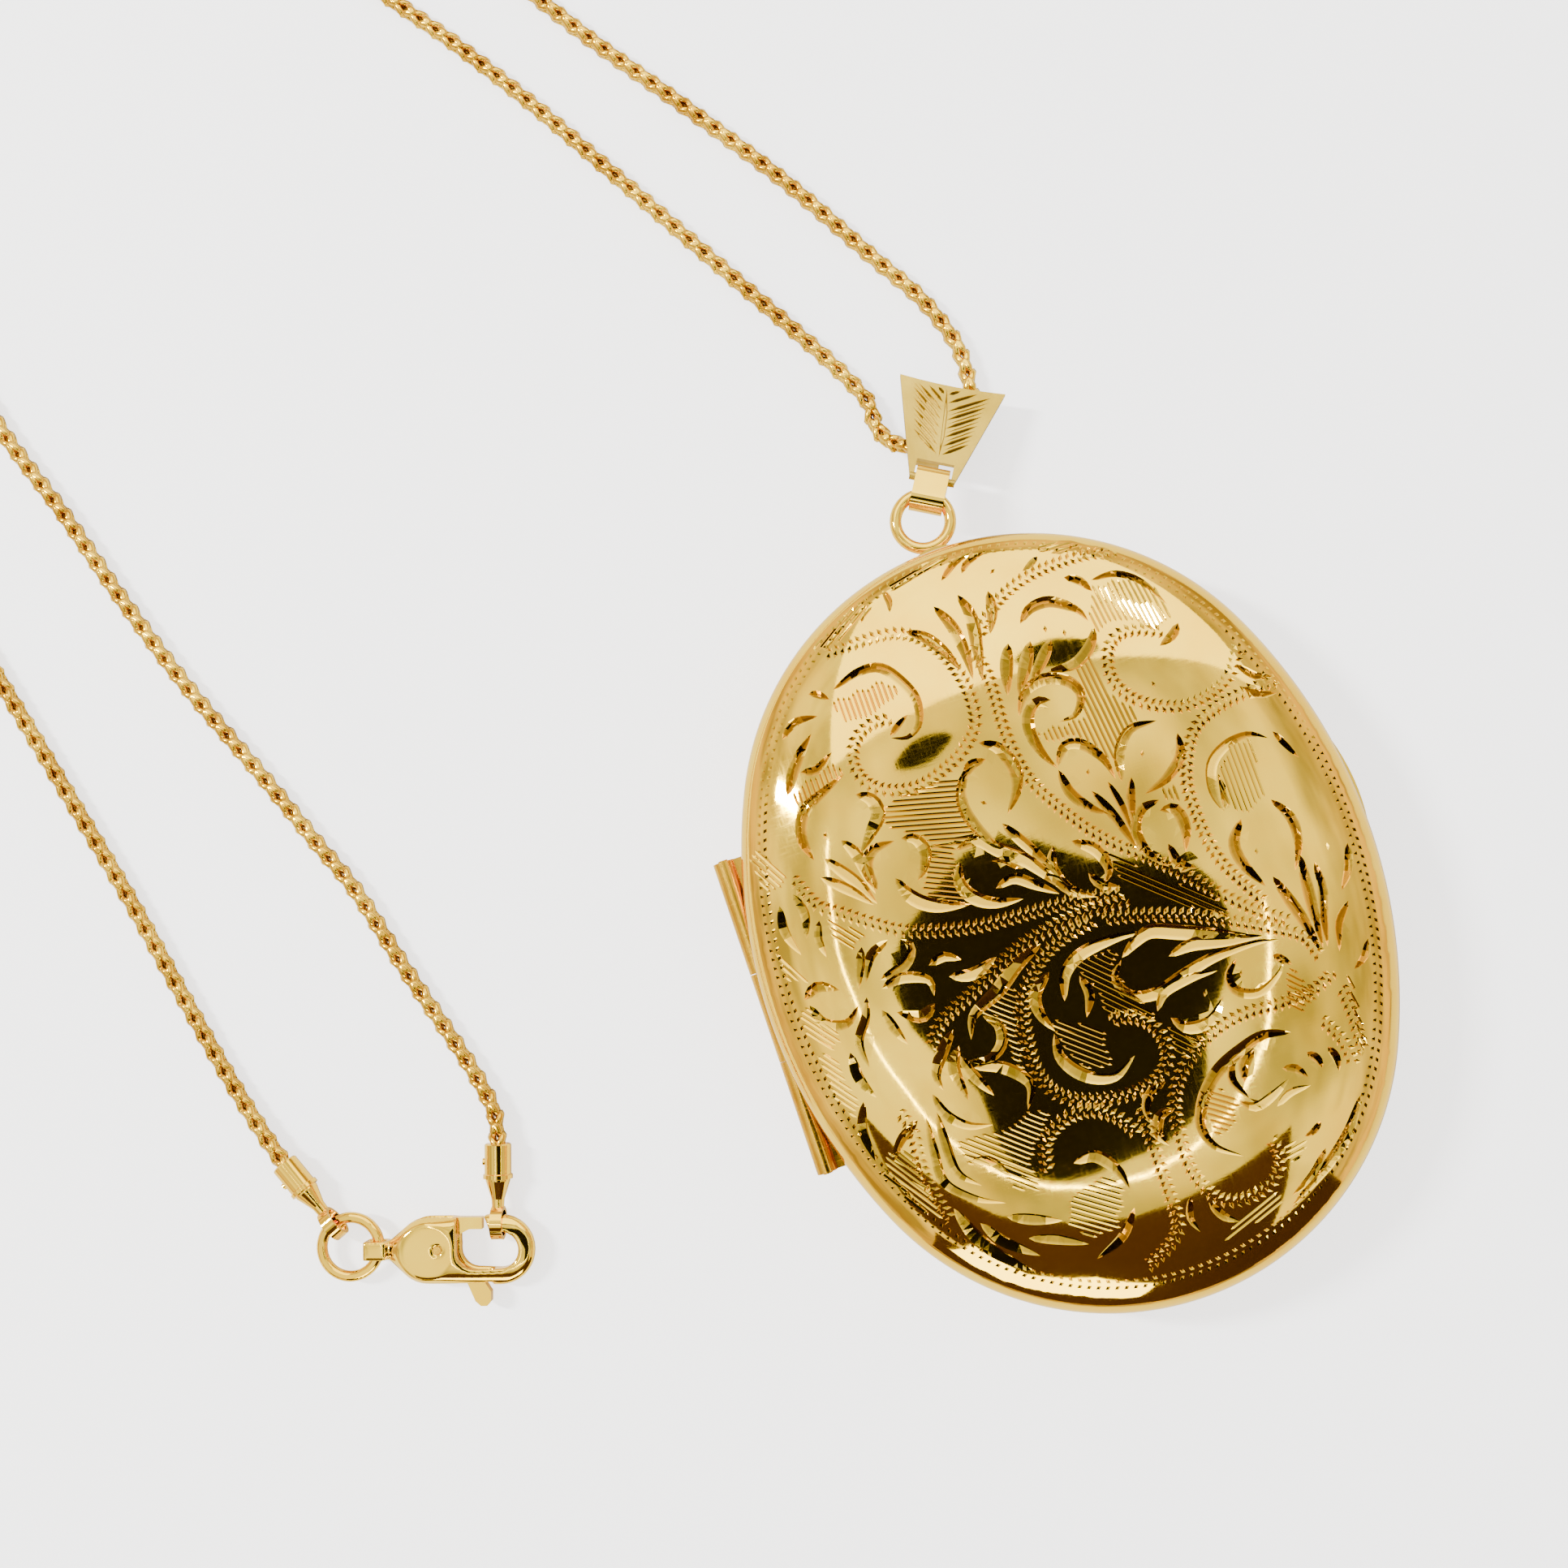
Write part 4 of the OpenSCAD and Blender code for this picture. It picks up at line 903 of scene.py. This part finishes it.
def make_gold(name, light, deep, polish, rough, strength=0.5, bump=0.02, painted_cut_shade=0.0):
    material = bpy.data.materials.new(name)
    material.use_nodes = True
    nodes, link = material.node_tree.nodes, material.node_tree.links.new
    shader = nodes["Principled BSDF"]
    shader.inputs["Metallic"].default_value = 1.0
    wear = nodes.new("ShaderNodeGroup")
    wear.node_tree = wear_group
    wear.inputs["Strength"].default_value = strength
    colour = mix_colour(nodes, link, add_range(nodes, link, wear.outputs["Tarnish"], 0.15, 0.4, 0, 1),
                        light, deep)
    # painted shade: inside the cuts the colour is darkened towards a third of the deep gold, by the cut's
    # depth
    if painted_cut_shade:
        depth = nodes.new("ShaderNodeAttribute")
        depth.attribute_name = "cut_depth"
        mask = add_range(nodes, link, depth.outputs["Fac"], 0.01, 0.09, 0, painted_cut_shade)
        colour = mix_colour(nodes, link, mask, colour, tuple(0.35 * c for c in deep))
    link(colour, shader.inputs["Base Color"])
    link(add_range(nodes, link, wear.outputs["Gloss"], 0.2, 0.45, polish, rough), shader.inputs["Roughness"])
    height = nodes.new("ShaderNodeBump")
    height.inputs["Strength"].default_value = bump
    height.inputs["Distance"].default_value = 0.00002
    link(wear.outputs["Height"], height.inputs["Height"])
    link(height.outputs["Normal"], shader.inputs["Normal"])
    return material


def make_satin(name, light, deep):
    """Gold brushed with a fine abrasive, so that it mirrors nothing clearly."""
    # painted shade darkens the colour in the bail's cuts
    material = make_gold(name, light, deep, 0.3, 0.45, 0.6, painted_cut_shade=0.9)
    nodes, link = material.node_tree.nodes, material.node_tree.links.new
    brush = nodes.new("ShaderNodeGroup")
    brush.node_tree = brush_group
    height = nodes.new("ShaderNodeBump")
    height.inputs["Strength"].default_value = 0.35
    height.inputs["Distance"].default_value = 0.00004
    link(brush.outputs["Lines"], height.inputs["Height"])
    link(height.outputs["Normal"], nodes["Principled BSDF"].inputs["Normal"])
    return material


PALE_GOLD, WARM_GOLD, OLD_GOLD = (1.0, 0.67, 0.045), (0.94, 0.56, 0.018), (0.64, 0.35, 0.01)
polished = make_gold("polished gold", PALE_GOLD, WARM_GOLD, 0.04, 0.1)
# painted shade darkens the colour in the engraved cover's cuts
engraved_gold = make_gold("engraved gold", PALE_GOLD, WARM_GOLD, 0.035, 0.09, painted_cut_shade=0.7)
chain_gold = make_gold("chain gold", PALE_GOLD, OLD_GOLD, 0.12, 0.25, strength=0.6)
satin_gold = make_satin("satin gold", (0.6, 0.43, 0.06), (0.45, 0.3, 0.03))
# painted shade: the hinge's knuckles and pin take a darker, rougher copy of the gold
shaded_hinge_gold = make_gold("shaded hinge gold", (0.9, 0.54, 0.03), (0.6, 0.32, 0.01), 0.12, 0.3, 0.6)
# painted shade: the frame and rim inside the locket take a darker copy of the gold
shaded_inner_gold = make_gold("shaded inner gold", WARM_GOLD, OLD_GOLD, 0.18, 0.35)
spring_steel = make_gold("spring steel", (0.7, 0.7, 0.68), (0.55, 0.54, 0.5), 0.2, 0.35)

# %% Card, window and floor
def make_paper(name, light, dark, scale, roughness):
    material = bpy.data.materials.new(name)
    material.use_nodes = True
    nodes, link = material.node_tree.nodes, material.node_tree.links.new
    grain = add_noise(nodes, link, scale, 5)
    shader = nodes["Principled BSDF"]
    shader.inputs["Roughness"].default_value = roughness
    link(mix_colour(nodes, link, add_range(nodes, link, grain, 0.3, 0.7, 0, 1), light, dark),
         shader.inputs["Base Color"])
    height = nodes.new("ShaderNodeBump")
    height.inputs["Strength"].default_value = 0.1
    height.inputs["Distance"].default_value = 0.00002
    link(grain, height.inputs["Height"])
    link(height.outputs["Normal"], shader.inputs["Normal"])
    return material


def make_window():
    material = bpy.data.materials.new("clear window")
    material.use_nodes = True
    nodes, link = material.node_tree.nodes, material.node_tree.links.new
    shader = nodes["Principled BSDF"]
    shader.inputs["Transmission Weight"].default_value = 1.0
    shader.inputs["IOR"].default_value = 1.45
    shader.inputs["Alpha"].default_value = 0.2
    smear = add_noise(nodes, link, 300, 4)
    link(add_range(nodes, link, smear, 0.3, 0.7, 0.02, 0.09), shader.inputs["Roughness"])
    return material


card = make_paper("photo card", (0.86, 0.82, 0.72), (0.8, 0.75, 0.64), 1500, 0.75)
window = make_window()
floor_paper = make_paper("floor paper", (0.86, 0.865, 0.875), (0.84, 0.845, 0.855), 220, 0.9)

# %% Giving the frame's own parts their finishes
# the knuckles, pin, frame and rim get the darker copies of the gold, as painted shade
FINISHES = {"card": card, "window": window, "spring": spring_steel, "frame": shaded_inner_gold,
            "knuckle": shaded_hinge_gold, "rim": shaded_inner_gold, "pin": shaded_hinge_gold}


def finish_piece(piece, material):
    piece.data.materials.clear()
    piece.data.materials.append(material)


for node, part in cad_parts.items():
    match = [FINISHES[word] for word in FINISHES if word in node and "cap" not in node]
    finish_piece(part, match[0] if match else polished)
    part.data.polygons.foreach_set("use_smooth", [True] * len(part.data.polygons))
    part.data.set_sharp_from_angle(angle=math.radians(30))
finish_piece(front, engraved_gold)
finish_piece(back, polished)
finish_piece(chain, chain_gold)
finish_piece(bail, satin_gold)
print("finishes given to", len(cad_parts), "parts")

# %% [markdown]
# ## Softened edges
# No edge on a polished fitting is truly sharp, because the wheel rounds it. A bevel modifier
# gives each fitting such an edge without moving its faces.

# %% Rounding the edges of the small fittings
ROUNDED = {"clasp_lever": 0.1, "bail_link": 0.06, "upper_knuckle": 0.05,
           "lower_knuckle": 0.05, "middle_knuckle": 0.05, "left_cap_rivet": 0.06,
           "right_cap_rivet": 0.06, "thumb_lip": 0.04}
for node, width in ROUNDED.items():
    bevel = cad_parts[node].modifiers.new("rounded edge", "BEVEL")
    bevel.width = width * MM
    bevel.segments = 3
    bevel.limit_method = "ANGLE"
    bevel.angle_limit = math.radians(35)
    bevel.harden_normals = True
print("rounded:", len(ROUNDED))

# %% The cast clasp body, whose faces flow into each other
def soften_casting(part, grain, passes):
    """Rebuilds a part in fine even faces and relaxes them, as tumbling does to a casting."""
    fine = part.modifiers.new("fine even faces", "REMESH")
    fine.mode = "VOXEL"
    fine.voxel_size = grain * MM
    relax = part.modifiers.new("tumbled", "SMOOTH")
    relax.factor = 0.5
    relax.iterations = passes
    fine.use_smooth_shade = True


soften_casting(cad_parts["clasp_body"], 0.07, 40)

# %% [markdown]
# ## Floor and light
# Polished gold has to have something to mirror. A pale, uneven room gives the cream colour.
# Dark, brown and bright cards above it give the deep middle, the warm edge and the highlights.
# Only reflections see the cards. The floor's glow is for the camera alone.

# %% The floor
def make_plate(name, centre, width, depth, material, tilt=(0, 0, 0)):
    mesh = bpy.data.meshes.new(name)
    w, d = width / 2, depth / 2
    mesh.from_pydata([(-w, -d, 0), (w, -d, 0), (w, d, 0), (-w, d, 0)], [], [(0, 1, 2, 3)])
    plate = bpy.data.objects.new(name, mesh)
    plate.location = centre
    plate.rotation_euler = [math.radians(a) for a in tilt]
    bpy.context.scene.collection.objects.link(plate)
    mesh.materials.append(material)
    return plate


def brighten_for_camera(material, strength):
    """A lit table top: the lens sees it brighter than the gold does."""
    nodes, link = material.node_tree.nodes, material.node_tree.links.new
    path = nodes.new("ShaderNodeLightPath")
    glow = add_math(nodes, link, "MULTIPLY", path.outputs["Is Camera Ray"], strength)
    shader = nodes["Principled BSDF"]
    shader.inputs["Emission Color"].default_value = (0.93, 0.94, 0.97, 1)
    link(glow, shader.inputs["Emission Strength"])


FLOOR_SIDE = 12  # metres
brighten_for_camera(floor_paper, 2.1)
make_plate("floor", (0, 0, -0.00002), FLOOR_SIDE, FLOOR_SIDE, floor_paper)


# %% The light
def make_area_light(name, place, target, width, height, power):
    data = bpy.data.lights.new(name, "AREA")
    data.shape, data.size, data.size_y, data.energy = "RECTANGLE", width, height, power
    light = bpy.data.objects.new(name, data)
    light.location = place
    light.rotation_euler = (Vector(target) - Vector(place)).to_track_quat("-Z", "Y").to_euler()
    bpy.context.scene.collection.objects.link(light)
    return light


def make_dark_card(name, points, shade):
    """A card that only the gold sees."""
    mesh = bpy.data.meshes.new(name)
    mesh.from_pydata([(x * MM, y * MM, z * MM) for x, y, z in points], [], [tuple(range(len(points)))])
    piece = bpy.data.objects.new(name, mesh)
    bpy.context.scene.collection.objects.link(piece)
    mesh.materials.append(make_paper(name, shade, tuple(0.7 * c for c in shade), 8, 0.9))
    piece.visible_camera = piece.visible_shadow = piece.visible_diffuse = False
    return piece


def make_room():
    """A room that is bright overhead and dimmer and warmer towards the horizon."""
    world = bpy.data.worlds.new("pale room")
    bpy.context.scene.world = world
    world.use_nodes = True
    nodes, link = world.node_tree.nodes, world.node_tree.links.new
    place = nodes.new("ShaderNodeTexCoord")
    split = nodes.new("ShaderNodeSeparateXYZ")
    link(place.outputs["Generated"], split.inputs[0])
    height = add_range(nodes, link, split.outputs["Z"], 0.15, 0.75, 0, 1)
    path = nodes.new("ShaderNodeLightPath").outputs["Is Camera Ray"]
    colour = mix_colour(nodes, link, height, (0.95, 0.68, 0.36), (1, 0.97, 0.9))
    colour = mix_colour(nodes, link, path, colour, (0.93, 0.94, 0.97))
    back = nodes["Background"]
    link(colour, back.inputs["Color"])
    seen = add_math(nodes, link, "MULTIPLY", path, 2.4)
    things = nodes.new("ShaderNodeTexNoise")
    things.inputs["Scale"].default_value = 3.2
    things.inputs["Detail"].default_value = 3
    link(place.outputs["Generated"], things.inputs["Vector"])
    unevenness = add_range(nodes, link, things.outputs["Fac"], 0.36, 0.62, 0.6, 1.7)
    strength = add_math(nodes, link, "MULTIPLY", unevenness,
                        add_range(nodes, link, split.outputs["Z"], 0, 1, 0.95, 1.25))
    link(add_math(nodes, link, "MAXIMUM", strength, seen), back.inputs["Strength"])


def card_only_gold_sees(name, points, shade, glow=0.0):
    card = make_dark_card(name, points, shade)
    shader = card.data.materials[0].node_tree.nodes["Principled BSDF"]
    shader.inputs["Specular IOR Level"].default_value = 0
    if glow:
        shader.inputs["Emission Color"].default_value = (1, 0.97, 0.9, 1)
        shader.inputs["Emission Strength"].default_value = glow
    return card


make_room()
make_area_light("key", (-0.32, 0.2, 0.4), (0, 0, 0), 0.03, 0.12, 4)
blob = []
for k in range(36):
    a = 2 * math.pi * k / 36
    r = 38 + 5 * math.sin(3 * a + 0.6) + 4 * math.sin(5 * a)
    blob.append((1 + 1.1 * r * math.cos(a), -28 + r * math.sin(a), 119))
card_only_gold_sees("dark overhead", blob, (0.01, 0.009, 0.008))
card_only_gold_sees("pale panel", [(-60, 60, 150), (220, 60, 150), (220, 330, 150), (-60, 330, 150)],
                    (0.8, 0.8, 0.8), 2.6)
card_only_gold_sees("brown wall", [(-160, -150, 15), (120, -170, 15), (120, -170, 110), (-160, -150, 110)],
                    (0.05, 0.025, 0.01))
for name, x, y, wide in (("dark patch right", 34, 53, 12), ("dark patch left", -12, 36, 8)):
    patch = [(x + wide * math.cos(a) * (1 + 0.2 * math.sin(2 * a + 1)), y + 0.5 * wide * math.sin(a), 118)
             for a in np.linspace(0, 2 * math.pi, 20, endpoint=False)]
    card_only_gold_sees(name, patch, (0.01, 0.01, 0.01))
arc = [math.radians(a) for a in range(150, 350, 3)]
strip = [((r + 0.7 * math.sin(17 * a)) * math.cos(a), (r + 0.5 * math.sin(29 * a)) * math.sin(a) - 6, 118.5)
         for r, way in ((66, 1), (67, -1)) for a in arc[::way]]
card_only_gold_sees("bright strip", strip, (0.8, 0.8, 0.8), 24)
card_only_gold_sees("brown table", [(-110, -50, 119), (-50, -84, 119), (0, -90, 119), (60, -84, 119),
                                    (70, -180, 119), (-60, -200, 119),
                                     (-170, -120, 119)], (0.07, 0.035, 0.01))
card_only_gold_sees("low window", [(-95, -105, 46), (-70, -122, 36), (-45, -138, 52), (-15, -142, 44),
                                   (-5, -140, 78), (-30, -138, 104), (-60, -125, 84), (-85, -112, 100)],
                    (0.8, 0.8, 0.8), 7)
